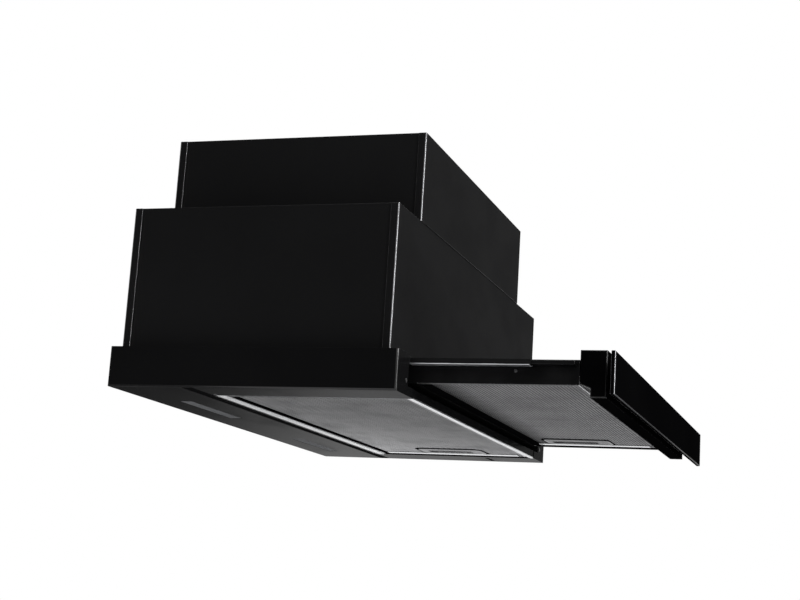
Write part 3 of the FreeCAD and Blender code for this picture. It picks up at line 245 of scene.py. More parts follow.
casingLook = {
    "colour": (0.0062, 0.0062, 0.0064, 1.0), "patch": (0.0078, 0.0078, 0.0081, 1.0),
    "dust": (0.05, 0.048, 0.046, 1.0), "dustAmount": 0.3, "marks": 7.0,
    "specular": 0.006, "roughness": 0.5, "smudged": 0.66, "dusty": 0.3, "peel": 0.05,
    "edge": 1.0, "edgeRoughness": 0.12,
    # painted highlight: a grey metal colour on the upright corners
    "bare": (0.24, 0.24, 0.25, 1.0), "wear": 0.85, "bareRoughness": 0.22,
}
trayLook = {**casingLook, "colour": (0.0036, 0.0036, 0.0038, 1.0), "patch": (0.005, 0.005, 0.0052, 1.0),
            "specular": 0.0018, "roughness": 0.19, "smudged": 0.3, "wear": 0.0,
            "dullBand": (0.0465, 0.057, 0.0008)}  # bare primer beside the rear rail
fasciaLook = {**casingLook, "colour": (0.0011, 0.0011, 0.0012, 1.0),
              "patch": (0.0017, 0.0017, 0.0018, 1.0), "specular": 0.0, "smudged": 0.62, "edge": 0.3,
              "peel": 0.02}


def makeEnamel(name, look):
    material, tree, shader = newMaterial(name)
    place = objectPlace(tree)
    marks = useGroup(tree, smudges, Size=look["marks"])["Mask"]
    settled = useGroup(tree, dust, Amount=look["dustAmount"])["Mask"]
    bends = bendsOf(tree)
    cloudy = ramp(tree, noise(tree, place, 4.0), 0.35, 0.7)
    shade = mixColour(tree, settled, mixColour(tree, cloudy, look["colour"], look["patch"]), look["dust"])
    rough = ramp(tree, marks, 0.0, 1.0, look["roughness"], look["smudged"])
    rough = calc(tree, "ADD", rough, times(tree, settled, look["dusty"]), clamp=True)
    if "dullBand" in look:
        rough = calc(tree, "MAXIMUM", rough, within(tree, *look["dullBand"]))
    if look["wear"]:  # upright corners take a grey metal colour: a painted highlight that makes the lamps' lines on them bright
        worn = times(tree, bends["Upright"], look["wear"])
        shade = mixColour(tree, worn, shade, look["bare"])
        rough = ramp(tree, worn, 0.0, 1.0, rough, look["bareRoughness"])
        feed(tree, worn, shader.inputs["Metallic"])
    feed(tree, shade, shader.inputs["Base Color"])
    feed(tree, rough, shader.inputs["Roughness"])
    feed(tree, times(tree, bends["Mask"], look["edge"]), shader.inputs["Coat Weight"])
    shader.inputs["Coat Roughness"].default_value = look["edgeRoughness"]
    shader.inputs["Specular IOR Level"].default_value = look["specular"]
    bumpInto(tree, shader, noise(tree, place, 520.0, 2.0), look["peel"], 0.0004)
    return material


satinLook = {"colour": (0.003, 0.003, 0.0032, 1.0), "worn": (0.011, 0.011, 0.0115, 1.0), "specular": 0.03,
             "roughness": (0.38, 0.56), "edge": 0.6, "edgeRoughness": 0.2,
             "along": (0.9, 0.03, 0.9), "fineness": 700.0}


def makeSatinBlack():
    material, tree, shader = newMaterial("satinBlackSteel")
    marks = useGroup(tree, grain, Along=satinLook["along"], Fineness=satinLook["fineness"])
    worn = ramp(tree, marks["Blotches"], 0.5, 0.8, 0.0, 0.6)
    feed(tree, mixColour(tree, worn, satinLook["colour"], satinLook["worn"]), shader.inputs["Base Color"])
    feed(tree, ramp(tree, marks["Lines"], 0.3, 0.7, *satinLook["roughness"]), shader.inputs["Roughness"])
    feed(tree, times(tree, bendsOf(tree)["Mask"], satinLook["edge"]), shader.inputs["Coat Weight"])
    shader.inputs["Coat Roughness"].default_value = satinLook["edgeRoughness"]
    shader.inputs["Specular IOR Level"].default_value = satinLook["specular"]
    bumpInto(tree, shader, noise(tree, objectPlace(tree), 1300.0, 2.0), 0.1, 0.0002)
    return material


plasticLook = {"marks": 16.0, "smudged": 0.16, "paleness": 0.6, "edgeRoughness": 0.2, "spark": 1500.0}


def makePlastic(name, colour, pale, roughness, specular, shine=0.0):
    material, tree, shader = newMaterial(name)
    place = objectPlace(tree)
    marks = useGroup(tree, smudges, Size=plasticLook["marks"])["Mask"]
    cloudy = times(tree, ramp(tree, noise(tree, place, 40.0), 0.4, 0.75), plasticLook["paleness"])
    feed(tree, mixColour(tree, cloudy, colour, pale), shader.inputs["Base Color"])
    feed(tree, ramp(tree, marks, 0.0, 1.0, roughness, roughness + plasticLook["smudged"]),
         shader.inputs["Roughness"])
    shader.inputs["Specular IOR Level"].default_value = specular
    if shine:
        feed(tree, times(tree, bendsOf(tree)["Mask"], shine), shader.inputs["Coat Weight"])
        shader.inputs["Coat Roughness"].default_value = plasticLook["edgeRoughness"]
    bumpInto(tree, shader, noise(tree, place, plasticLook["spark"], 2.0), 0.16, 0.00015)
    return material


# bare metal finishes

meshLook = {
    "pitch": 3.36, "diamond": 6.4, "strand": 1.0, "swing": 0.34, "lift": 0.5, "inset": 3.2, "clear": 0.1,
    "bond": (0.012, 0.012, 0.0125, 1.0), "shade": (0.15, 0.15, 0.155, 1.0),
    "deep": (0.03, 0.03, 0.031, 1.0),
    "fixed_filter": {"finish": "meshWire", "colour": (0.68, 0.68, 0.685, 1.0), "roughness": 0.42,
                     "bondDepth": 0.35, "sooty": None},
    # the carriage's finish is a darker, shaded copy, and its rear stretch is darkened with the painted
    # shadow of the tray
    "carriage_filter": {"finish": "meshWireShaded", "colour": (0.62, 0.62, 0.625, 1.0), "roughness": 0.46,
                        "bondDepth": 0.92, "sooty": (-0.168, -0.134, 0.03)},
}


def strandRows(body):  # where the first row of strands lies along Y, and how many rows there are
    low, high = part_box(body + "_mesh")
    pitch = meshLook["pitch"] * mm
    count = int((high.y - low.y - 2 * meshLook["inset"] * mm) / pitch)
    return (low.y + high.y - (count - 1) * pitch) / 2, count


aluminiumLook = {"fineness": 1100.0, "streaks": 0.35, "blotches": 0.5, "soot": (0.006, 0.006, 0.006, 1.0),
                 "smoother": -0.06, "rougher": 0.1}


# a stretch along Y may be darkened with painted shade; rows: the first row's place, and how deep the
# painted shade between its strands is
def makeAluminium(name, colour, dull, roughness, along=alongX, sooty=None, metal=1.0, rows=None):
    material, tree, shader = newMaterial(name)
    marks = useGroup(tree, grain, Along=along, Fineness=aluminiumLook["fineness"])
    streaks = times(tree, ramp(tree, marks["Lines"], 0.25, 0.75), aluminiumLook["streaks"])
    patchy = ramp(tree, marks["Blotches"], 0.45, 0.8, 0.0, aluminiumLook["blotches"])
    shade = mixColour(tree, patchy, mixColour(tree, streaks, colour, dull), dull)
    # painted shade between the rows of strands, deepest on the carriage's mesh
    if rows:
        fromFirst = calc(tree, "SUBTRACT", axes(tree, objectPlace(tree))["Y"], rows[0])
        turns = times(tree, fromFirst, 2 * math.pi / (meshLook["pitch"] * mm))
        shade = mixColour(tree, ramp(tree, calc(tree, "COSINE", turns), 0.7, -0.7, 0.0, rows[1]), shade,
                          meshLook["bond"])
    if sooty:
        shade = mixColour(tree, within(tree, *sooty), shade, aluminiumLook["soot"])
    feed(tree, shade, shader.inputs["Base Color"])
    feed(tree, ramp(tree, marks["Lines"], 0.25, 0.75, roughness + aluminiumLook["smoother"],
                    roughness + aluminiumLook["rougher"]), shader.inputs["Roughness"])
    shader.inputs["Metallic"].default_value = metal
    bumpInto(tree, shader, marks["Lines"], 0.06, 0.0002)
    return material


def makeMeshWires(body):
    wires = meshLook[body]
    return makeAluminium(wires["finish"], wires["colour"], meshLook["shade"], wires["roughness"],
                         sooty=wires["sooty"], rows=(strandRows(body)[0], wires["bondDepth"]))


packLayers = ((0.0, 3.316), (0.9, 4.145))  # each layer's turn in radians, and its pitch in mm


def makeMeshPack():  # the layers behind the outer mesh: crossed strands over gaps darkened with painted shade
    material, tree, shader = newMaterial("meshPack")
    place = objectPlace(tree)
    layers = []
    for turn, pitch in packLayers:
        spin = tree.nodes.new("ShaderNodeMapping")
        spin.inputs["Rotation"].default_value = (0.0, 0.0, turn)
        tree.links.new(place, spin.inputs["Vector"])
        layers.append(bands(tree, spin.outputs["Vector"], pitch, 1.6, 260.0, "Y"))
    strands = calc(tree, "MAXIMUM", *layers)
    feed(tree, mixColour(tree, ramp(tree, strands, 0.3, 0.85), meshLook["deep"], meshLook["shade"]),
         shader.inputs["Base Color"])
    shader.inputs["Metallic"].default_value = 1.0
    feed(tree, ramp(tree, strands, 0.0, 1.0, 0.6, 0.42), shader.inputs["Roughness"])
    bumpInto(tree, shader, strands, 0.5, 0.0008)
    return material


zincLook = {"spangle": 160.0, "dark": (0.44, 0.45, 0.47, 1.0), "light": (0.58, 0.59, 0.61, 1.0),
            "bloom": (0.36, 0.37, 0.38, 1.0), "roughness": (0.3, 0.46)}


def makeZinc():  # hot dip spangle under a thin oxide bloom
    material, tree, shader = newMaterial("zincSteel")
    place = objectPlace(tree)
    spangle = tree.nodes.new("ShaderNodeTexVoronoi")
    spangle.inputs["Scale"].default_value = zincLook["spangle"]
    tree.links.new(place, spangle.inputs["Vector"])
    split = tree.nodes.new("ShaderNodeSeparateColor")
    tree.links.new(spangle.outputs["Color"], split.inputs["Color"])
    flake = split.outputs["Red"]
    bloom = ramp(tree, noise(tree, place, 30.0, 4.0), 0.45, 0.8, 0.0, 0.5)
    feed(tree, mixColour(tree, bloom, mixColour(tree, flake, zincLook["dark"], zincLook["light"]),
                         zincLook["bloom"]), shader.inputs["Base Color"])
    shader.inputs["Metallic"].default_value = 1.0
    feed(tree, ramp(tree, flake, 0.0, 1.0, *zincLook["roughness"]), shader.inputs["Roughness"])
    bumpInto(tree, shader, flake, 0.04, 0.0002)
    return material


slideLook = {"black": (0.004, 0.004, 0.0042, 1.0), "track": (0.72, 0.73, 0.75, 1.0),
             "rubbed": (0.5, 0.51, 0.53, 1.0), "trackTop": -7.7, "trackEdge": 0.25, "wander": 0.15,
             "reach": (-0.267, 0.2, 0.002), "fineness": 1200.0, "roughness": (0.34, 0.5), "specular": 0.06}


def makeSlideSteel():  # blackened steel whose lower edge the balls have rolled bright
    material, tree, shader = newMaterial("slideSteel")
    place = objectPlace(tree)
    wander = slideLook["wander"] * mm
    height = calc(tree, "ADD", axes(tree, place)["Z"],
                  ramp(tree, noise(tree, place, 60.0, 2.0), 0.3, 0.7, -wander, wander))
    top = slideLook["trackTop"] * mm
    bright = times(tree, ramp(tree, height, top + slideLook["trackEdge"] * mm, top),
                   within(tree, *slideLook["reach"]))
    streaks = useGroup(tree, grain, Along=alongY, Fineness=slideLook["fineness"])["Lines"]
    track = mixColour(tree, ramp(tree, streaks, 0.3, 0.7, 0.0, 0.5), slideLook["track"],
                      slideLook["rubbed"])
    feed(tree, mixColour(tree, bright, slideLook["black"], track), shader.inputs["Base Color"])
    feed(tree, bright, shader.inputs["Metallic"])
    feed(tree, ramp(tree, streaks, 0.3, 0.7, *slideLook["roughness"]), shader.inputs["Roughness"])
    shader.inputs["Specular IOR Level"].default_value = slideLook["specular"]
    bumpInto(tree, shader, streaks, 0.06, 0.0002)
    return material


motorLook = {"dark": (0.16, 0.16, 0.17, 1.0), "light": (0.36, 0.37, 0.39, 1.0), "pitch": 1.208}


def makeMotorSteel():  # stacked laminations round the can
    material, tree, shader = newMaterial("motorSteel")
    sheets = bands(tree, objectPlace(tree), motorLook["pitch"], 0.3)
    feed(tree, mixColour(tree, sheets, motorLook["dark"], motorLook["light"]), shader.inputs["Base Color"])
    shader.inputs["Metallic"].default_value = 1.0
    feed(tree, ramp(tree, sheets, 0.0, 1.0, 0.5, 0.34), shader.inputs["Roughness"])
    bumpInto(tree, shader, sheets, 0.2, 0.0003)
    return material


# lamp finishes

lensLook = {"colour": (0.085, 0.087, 0.09, 1.0), "rib": (0.15, 0.153, 0.158, 1.0), "pitch": 3.184,
            "roughness": (0.4, 0.55), "specular": 0.05}


def makeLens():  # frosted strip with fine moulded ribs across it
    material, tree, shader = newMaterial("frostedLens")
    place = objectPlace(tree)
    ribs = bands(tree, place, lensLook["pitch"])
    feed(tree, mixColour(tree, ribs, lensLook["colour"], lensLook["rib"]), shader.inputs["Base Color"])
    feed(tree, ramp(tree, noise(tree, place, 60.0), 0.3, 0.7, *lensLook["roughness"]),
         shader.inputs["Roughness"])
    shader.inputs["Specular IOR Level"].default_value = lensLook["specular"]
    bumpInto(tree, shader, ribs, 0.15, 0.0003)
    return material


boardLook = {"mask": (0.74, 0.75, 0.73, 1.0), "phosphor": (0.8, 0.78, 0.62, 1.0), "weave": 700.0}


def makeBoard():  # white solder mask with pale yellow phosphor dots where the chips stand
    material, tree, shader = newMaterial("ledBoard")
    weave = noise(tree, objectPlace(tree), boardLook["weave"], 1.0)
    feed(tree, mixColour(tree, ramp(tree, weave, 0.35, 0.7), boardLook["mask"], boardLook["phosphor"]),
         shader.inputs["Base Color"])
    feed(tree, ramp(tree, weave, 0.3, 0.7, 0.3, 0.5), shader.inputs["Roughness"])
    bumpInto(tree, shader, weave, 0.1, 0.0001)
    return material


finishes = {
    "black_gloss_sheet": makeEnamel("blackEnamel", casingLook),
    "black_satin_sheet": makeSatinBlack(),
    "bright_aluminium": makeAluminium("brightAluminium", (0.86, 0.87, 0.88, 1.0), (0.66, 0.67, 0.69, 1.0),
                                      0.26),
    "filter_mesh": makeMeshPack(),
    "zinc_steel": makeZinc(),
    "black_plastic": makePlastic("blackPlastic", (0.0035, 0.0035, 0.0037, 1.0),
                                 (0.006, 0.006, 0.0063, 1.0), roughness=0.5, specular=0.1),
    "grey_plastic": makePlastic("greyPlastic", (0.3, 0.31, 0.32, 1.0), (0.38, 0.385, 0.39, 1.0),
                                roughness=0.42, specular=0.4),
    "lamp_lens": makeLens(),
    "circuit_board": makeBoard(),
    "motor_steel": makeMotorSteel(),
}
trayEnamel = makeEnamel("trayEnamel", trayLook)
fasciaEnamel = makeEnamel("fasciaEnamel", fasciaLook)
slideSteel = makeSlideSteel()
capPlastic = makePlastic("capPlastic", (0.0009, 0.0009, 0.001, 1.0), (0.0018, 0.0018, 0.0019, 1.0),
                         roughness=0.55, specular=0.005, shine=1.0)
# nearly black: the handle bezels' own colour, and painted shade in the strips along the filters' rear and
# latch end
softSeal = makePlastic("softSeal", (0.0012, 0.0012, 0.0013, 1.0), (0.003, 0.003, 0.0032, 1.0),
                       roughness=0.85, specular=0.0)
satinFastener = makePlastic("rivetBlack", (0.006, 0.006, 0.0062, 1.0), (0.02, 0.02, 0.021, 1.0),
                            roughness=0.3, specular=0.3, shine=1.0)
filterFrame = makeAluminium("filterFrame", (0.72, 0.72, 0.73, 1.0), (0.54, 0.54, 0.55, 1.0), 0.42,
                            metal=0.45)
handlePan = makeAluminium("handlePan", (0.26, 0.26, 0.265, 1.0), (0.18, 0.18, 0.185, 1.0), 0.36, alongY)
meshWires = {body: makeMeshWires(body) for body in filters}
# dark border colours: partly painted shade, the tone of the mesh with its holes in shadow
meshBorders = {
    "fixed_filter": makeAluminium("meshBorder", (0.2, 0.2, 0.205, 1.0), (0.15, 0.15, 0.155, 1.0), 0.5),
    # the carriage's border is a darker, shaded copy with the same painted shadow at its rear
    "carriage_filter": makeAluminium("meshBorderShaded", (0.13, 0.13, 0.135, 1.0),
                                     (0.1, 0.1, 0.105, 1.0), 0.5,
                                     sooty=meshLook["carriage_filter"]["sooty"]),
}
# the rail's rear stretch is darkened with painted shade, where the recess behind it lies in shadow
railAluminium = makeAluminium("railAluminium", (0.9, 0.905, 0.91, 1.0), (0.74, 0.75, 0.76, 1.0), 0.42,
                              sooty=(0.0442, 0.05, 0.0006), metal=0.35)
print("stage: finishes")

nodeFinishes = {
    "rear_filter_rail": railAluminium,
    "base_tray": trayEnamel, "crossbar": fasciaEnamel, "fascia_panel": fasciaEnamel,
    "crossbar_caps": capPlastic, "left_middle_slide": slideSteel, "right_middle_slide": slideSteel,
    "inner_slides": finishes["black_satin_sheet"], "outer_slides": finishes["black_satin_sheet"],
    "fixed_filter_frame": filterFrame, "carriage_filter_frame": filterFrame,
}
edges = {
    "width": 0.3, "thin": 0.22, "angle": 35.0, "segments": 2, "weld": 0.002,
    "skip": ("outlet_transition", "impeller", "casing_screws", "rail_screws", "carriage_rivets", "motor",
             "motor_shaft", "flap_pins", "fixed_filter_mesh", "carriage_filter_mesh", "led_boards"),
    "thinSheets": ("carriage_top_cover", "lower_left_panel", "lower_right_panel", "lower_top_panel",
                   "upper_left_panel", "upper_right_panel", "upper_top_panel", "lower_front_panel",
                   "lower_back_panel", "upper_front_panel", "upper_back_panel", "scroll_wrap",
                   "left_middle_slide", "right_middle_slide", "fixed_filter_handle_plate",
                   "carriage_filter_handle_plate", "fixed_filter_frame", "carriage_filter_frame"),
}


def softenEdges(piece, width):  # joins the split corners, then rounds what a press or a mould rounds
    piece.modifiers.new("join", "WELD").merge_threshold = edges["weld"] * mm
    bevel = piece.modifiers.new("soften", "BEVEL")
    bevel.width = width * mm
    bevel.segments = edges["segments"]
    bevel.limit_method = "ANGLE"
    bevel.angle_limit = math.radians(edges["angle"])
    bevel.harden_normals = True


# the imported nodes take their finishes, and a small softening of their cut edges
for entry in frame["record"]["subparts"]:
    name = entry["node"]
    piece = nodes[name]
    piece.data.materials.clear()
    piece.data.materials.append(nodeFinishes.get(name, finishes[entry["material_slot"]]))
    if name not in edges["skip"]:
        softenEdges(piece, edges["thin" if name in edges["thinSheets"] else "width"])
print("stage: packed nodes dressed")


# outlines, solids of turning and new pieces

def inMm(*values):
    return [value * mm for value in values]


def spread(x, y):  # the centre and the half size of a rectangle between two limits each way
    return ((x[0] + x[1]) / 2, (y[0] + y[1]) / 2), ((x[1] - x[0]) / 2, (y[1] - y[0]) / 2)


def roundedLoop(z, centre, half, radius, corner=5):  # a rounded rectangle lying at one height
    points = []
    for sx, sy, start in ((1, 1, 0), (-1, 1, 90), (-1, -1, 180), (1, -1, 270)):
        for i in range(corner + 1):
            angle = math.radians(start + 90 * i / corner)
            points.append((centre[0] + sx * (half[0] - radius) + radius * math.cos(angle),
                           centre[1] + sy * (half[1] - radius) + radius * math.sin(angle), z))
    return points


def joinLoops(shape, loops, closeFirst=False, closeLast=False):  # every loop has the same number of points
    rings = [[shape.verts.new(point) for point in loop] for loop in loops]
    for first, second in zip(rings, rings[1:]):
        for i in range(len(first)):
            j = (i + 1) % len(first)
            shape.faces.new((first[i], first[j], second[j], second[i]))
    if closeFirst:
        shape.faces.new(rings[0])
    if closeLast:
        shape.faces.new(rings[-1])


def turned(shape, profile, centre, axis, steps):  # profile: (radius, height) in metres, closed at its end
    axis = Vector(axis).normalized()
    side = axis.orthogonal().normalized()
    other = axis.cross(side)
    angles = [2 * math.pi * i / steps for i in range(steps)]
    loops = [[Vector(centre) + axis * height + (side * math.cos(angle) + other * math.sin(angle)) * radius
              for angle in angles] for radius, height in profile]
    joinLoops(shape, loops, closeLast=True)


def turnedRing(shape, profile, centre, steps, reach):  # about Z, with a hole through; reach cuts the ribs
    angles = [2 * math.pi * i / steps for i in range(steps)]
    loops = [[(centre[0] + reach(radius, z, angle) * math.cos(angle),
               centre[1] + reach(radius, z, angle) * math.sin(angle), centre[2] + z)
              for angle in angles] for radius, z in profile]
    joinLoops(shape, loops)


def newPiece(name, build, finish, body, smooth=False):
    mesh = bpy.data.meshes.new(name)
    shape = bmesh.new()
    build(shape)
    bmesh.ops.recalc_face_normals(shape, faces=shape.faces)
    shape.to_mesh(mesh)
    shape.free()
    for face in mesh.polygons:
        face.use_smooth = smooth
    mesh.materials.append(finish)
    piece = bpy.data.objects.new(name, mesh)
    bpy.context.scene.collection.objects.link(piece)
    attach(piece, body)
    return piece


# expanded mesh: rows of zigzag strands that meet at their peaks, tilted as the punch leaves them
def makeMeshFace(name, body, z, lift):
    low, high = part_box(body + "_mesh")
    pitch = meshLook["pitch"] * mm
    step = meshLook["diamond"] * mm / 2
    half = meshLook["strand"] * mm / 2
    firstRow, rows = strandRows(body)
    columns = int((high.x - low.x - 2 * meshLook["inset"] * mm) / step)
    firstColumn = (low.x + high.x - columns * step) / 2

    def build(shape):
        for row in range(rows):
            edge = []
            for column in range(columns + 1):
                swing = pitch * meshLook["swing"] * (1 if (row + column) % 2 else -1)
                x = firstColumn + column * step
                y = firstRow + row * pitch + swing
                edge.append([shape.verts.new((x, y - half, z)), shape.verts.new((x, y + half, z + lift))])
            for first, second in zip(edge, edge[1:]):
                shape.faces.new((first[0], second[0], second[1], first[1]))

    piece = newPiece(name, build, meshWires[body], body)


for body in filters:
    low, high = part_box(body + "_mesh")
    clear, lift = inMm(meshLook["clear"], meshLook["lift"])
    makeMeshFace(body + "MeshUnder", body, low.z - clear, -lift)
    makeMeshFace(body + "MeshOver", body, high.z + clear, lift)
print("stage: filter meshes")

# pressed handle pans: a sunk pan with a finger slot, in a dark moulded bezel
handle = {"inset": 0.6, "corner": 10.0, "sheet": 0.25,
          "bezel": (13.1, 2.6), "shift": -5.7, "rise": 0.14, "bevel": 0.35, "back": 0.3,
          "panCorner": 8.0, "leastCorner": 1.2, "tuck": -0.4, "brim": 0.3, "slope": 2.5, "sink": 0.55,
          "slot": {"half": (3.5, 21.5), "fromEnd": 25.3, "corner": 2.0, "groove": (1.2, 0.5, 0.12),
                   "lip": 0.8},
          "liner": {"half": (9.2, 27.0), "shift": (-4.2, 4.7), "corner": 3.0, "rise": 0.22, "gap": 0.15,
                    "back": 0.1}}


def makeHandle(body, node):
    low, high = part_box(node)
    centre, size = spread((low.x, high.x), (low.y, high.y))
    half = [side - handle["inset"] * mm for side in size]
    slot, liner = handle["slot"], handle["liner"]
    slotPlace = (high.x - slot["fromEnd"] * mm, centre[1])

    def loopAt(z, place, wide, radius):
        return roundedLoop(low.z + z * mm, place, wide, radius * mm)

    def outerRing(shrink, z):
        return loopAt(z, centre, [side - shrink * mm for side in half], handle["corner"] - shrink)

    def panRing(grow, z):  # nearer to the filter's end than the middle of the handle
        return loopAt(z, (centre[0] + handle["shift"] * mm, centre[1]),
                      [side - (rim + grow) * mm for side, rim in zip(half, handle["bezel"])],
                      max(handle["panCorner"] - grow, handle["leastCorner"]))

    def slotRing(grow, z):
        return loopAt(z, slotPlace, [(side + grow) * mm for side in slot["half"]], slot["corner"] + grow)

    def linerRing(z):  # round the finger slot
        return loopAt(z, [place + shift * mm for place, shift in zip(slotPlace, liner["shift"])],
                      inMm(*liner["half"]), liner["corner"])

    def pan(shape):
        sink = handle["sink"]
        outer, inner, depth = slot["groove"]
        joinLoops(shape, [panRing(handle["tuck"], 0.0), panRing(handle["brim"], 0.0),
                          panRing(handle["slope"], sink), slotRing(outer, sink),
                          slotRing(inner, sink - depth), slotRing(0.0, sink),
                          slotRing(0.0, sink + slot["lip"])])

    def bezel(shape):
        rise, bevel, back = -handle["rise"], handle["bevel"], handle["back"]
        joinLoops(shape, [outerRing(0.0, back), outerRing(0.0, rise * 0.5), outerRing(bevel, rise),
                          panRing(-bevel, rise), panRing(0.0, rise * 0.5), panRing(0.0, back)])
        front, back = handle["sink"] - liner["rise"], handle["sink"] + liner["back"]
        joinLoops(shape, [linerRing(back), linerRing(front), slotRing(liner["gap"], front),
                          slotRing(liner["gap"], back)])

    panPiece = newPiece(body + "HandlePan", pan, handlePan, body, smooth=True)
    bezelPiece = newPiece(body + "HandleBezel", bezel, softSeal, body, smooth=True)
    thick = panPiece.modifiers.new("sheet", "SOLIDIFY")
    thick.thickness = handle["sheet"] * mm
    thick.offset = 0.0
    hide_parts(node)


for body in filters:
    makeHandle(body, body + "_handle_plate")

# dark strips on the filters' undersides, painted shade where the gaps at the rear and latch end lie in
# shadow; the bright trim strip by the latch end, and the mesh's border; a bevel's steps are how far in, in
# mm, and the share of the strip's thickness
strips = {
    "rearSeal": {"fixed_filter": (24.0, 32.2), "carriage_filter": (-169.0, -157.7), "ends": 6.0,
                 "thick": 0.22},
    "endSeal": {"x": (230.9, 243.8), "ends": 1.0, "thick": 0.2},
    "endTrim": {"x": (218.5, 230.5), "ends": 9.8, "thick": 0.26},
    "corner": 1.0, "back": 0.3, "bevel": ((0.0, 0.0), (0.1, 0.7), (0.5, 1.0)),
    "frame": {"near": 0.4, "front": 2.4, "rear": 5.8},  # in from the box, which takes in the hinge pins
}
border = {"rim": {"fixed_filter": 2.8, "carriage_filter": 1.2}, "thick": 0.14, "tuck": 3.2, "fold": 0.4,
          "back": 0.1, "corner": 1.5}


def makeStrip(name, body, x, y, thick, finish):
    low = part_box(body + "_frame")[0]
    centre, half = spread(x, y)

    def build(shape):
        steps = [(0.0, -strips["back"])] + [(shrink, share * thick) for shrink, share in strips["bevel"]]
        joinLoops(shape, [roundedLoop(low.z - drop * mm, centre, [side - shrink * mm for side in half],
                                      strips["corner"] * mm) for shrink, drop in steps],
                  closeFirst=True, closeLast=True)

    piece = newPiece(body + name, build, finish, body)


def makeBorder(body, near, front, rear):  # the folded border of the mesh, lapped over the frame's rim; its dark colour is partly painted shade, the tone the mesh shows with its holes in shadow
    low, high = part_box(body + "_mesh")
    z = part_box(body + "_frame")[0].z
    outer = spread((near, strips["endTrim"]["x"][0] * mm), (front, rear))
    inner = spread((low.x, high.x), (low.y, high.y))
    thick, tuck, fold = inMm(border["thick"], border["tuck"], border["fold"])
    back, corner = inMm(border["back"], border["corner"])

    def build(shape):
        joinLoops(shape, [roundedLoop(z + height, centre, [side - shrink for side in half], corner)
                          for (centre, half), shrink, height in
                          ((outer, 0.0, back), (outer, 0.0, -thick * 0.6), (outer, fold, -thick),
                           (inner, tuck, -thick), (inner, tuck + fold, back))])

    piece = newPiece(body + "MeshBorder", build, meshBorders[body], body)


for body in filters:
    low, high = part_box(body + "_frame")
    near = low.x + strips["frame"]["near"] * mm
    front = low.y + strips["frame"]["front"] * mm
    rear = high.y - strips["frame"]["rear"] * mm
    # the rear strip is painted shade, where the gap by the rail lies in shadow
    shadeStrip = strips["rearSeal"]
    makeStrip("RearShadeStrip", body, (low.x + shadeStrip["ends"] * mm, high.x - shadeStrip["ends"] * mm), inMm(*shadeStrip[body]),
              shadeStrip["thick"], softSeal)
    makeBorder(body, near, front + border["rim"][body] * mm, rear)
    for name, strip, finish, slot in (
            ("EndShadeStrip", strips["endSeal"], softSeal, "black_plastic"),
            ("EndTrim", strips["endTrim"], finishes["bright_aluminium"], "bright_aluminium")):
        ends = strip["ends"] * mm
        makeStrip(name, body, inMm(*strip["x"]), (front + ends, rear - ends), strip["thick"], finish)
print("stage: handles and seals")

# domed rivets on the carriage bars, and the screws on the front cheeks: radius in shares, height in mm
rivet = {"radius": 1.75, "steps": 28, "facing": (1, 0, 0),
         "places": ((250.0, -252.7, -11.49), (250.0, -111.2, -11.49)),
         "profile": ((1.0, 0.0), (1.0, 0.18), (0.92, 0.42), (0.7, 0.66), (0.42, 0.78), (0.3, 0.76),
                     (0.22, 0.5), (0.05, 0.46))}
cheekScrew = {"radius": 1.9, "steps": 32, "facing": (0, -1, 0), "places": ((272.3, -156.0, -25.1),),
              "profile": ((1.0, 0.0), (1.0, 0.35), (0.94, 0.62), (0.78, 0.82), (0.6, 0.9))}


def makeHeads(name, body, head):  # the same heads on both sides of the hood
    def build(shape):
        profile = [inMm(share * head["radius"], height) for share, height in head["profile"]]
        across, along, up = head["facing"]
        for side in (-1, 1):
            for x, y, z in head["places"]:
                turned(shape, profile, inMm(side * x, y, z), (side * across, along, up), head["steps"])

    return newPiece(name, build, satinFastener, body, smooth=True)


rivetHeads = makeHeads("carriageRivetHeads", "carriage", rivet)
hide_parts("carriage_rivets")
cheekScrews = makeHeads("cheekScrews", "hood", cheekScrew)
print("stage: rivets and screws")

# slider knobs with grip ribs; the steps are how far in, and how high above the crown, in mm
knob = {"corner": 1.0, "steps": ((0.0, -0.7), (0.12, -0.3), (0.4, -0.06), (0.8, 0.0)),
        "ribs": 4, "ribRise": 0.5, "ribWidth": 0.7, "ribMargin": 1.2, "ribSetback": 0.7, "ribCorner": 0.08,
        "ribSteps": ((0.0, -0.2), (0.0, 0.25), (0.12, 0.42), (0.26, 0.5)), "ribSlope": 0.8}


def makeKnob(body, node):
    low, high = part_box(node)
    centre, half = spread((low.x, high.x), (low.y, high.y))
    top = high.z - knob["ribRise"] * mm
    margin = knob["ribMargin"] * mm

    def build(shape):
        steps = [(0.0, low.z)] + [(shrink, top + height * mm) for shrink, height in knob["steps"]]
        joinLoops(shape, [roundedLoop(z, centre, [side - shrink * mm for side in half], knob["corner"] * mm)
                          for shrink, z in steps], closeFirst=True, closeLast=True)
        gap = (2 * half[0] - 2 * margin) / (knob["ribs"] - 1)
        for i in range(knob["ribs"]):
            place = (centre[0] - half[0] + margin + i * gap, centre[1])
            loops = []
            for shrink, height in knob["ribSteps"]:
                wide = (knob["ribWidth"] * mm / 2 - shrink * mm * knob["ribSlope"],
                        half[1] - (knob["ribSetback"] + shrink) * mm)
                loops.append(roundedLoop(top + height * mm, place, wide, knob["ribCorner"] * mm, 3))
            joinLoops(shape, loops, closeFirst=True, closeLast=True)

    piece = newPiece(body + "Knob", build, finishes["black_plastic"], body)
    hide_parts(node)


makeKnob("light_switch", "light_switch")
makeKnob("speed_switch", "speed_switch")

# cable gland: a ribbed dome nut on a collar, open for the cable
gland = {"bore": 3.5, "collar": 2.0, "ribs": 14, "ribDepth": 0.5, "grip": (6.6, 2.6), "gripIn": 1.5,
         "steps": 84}


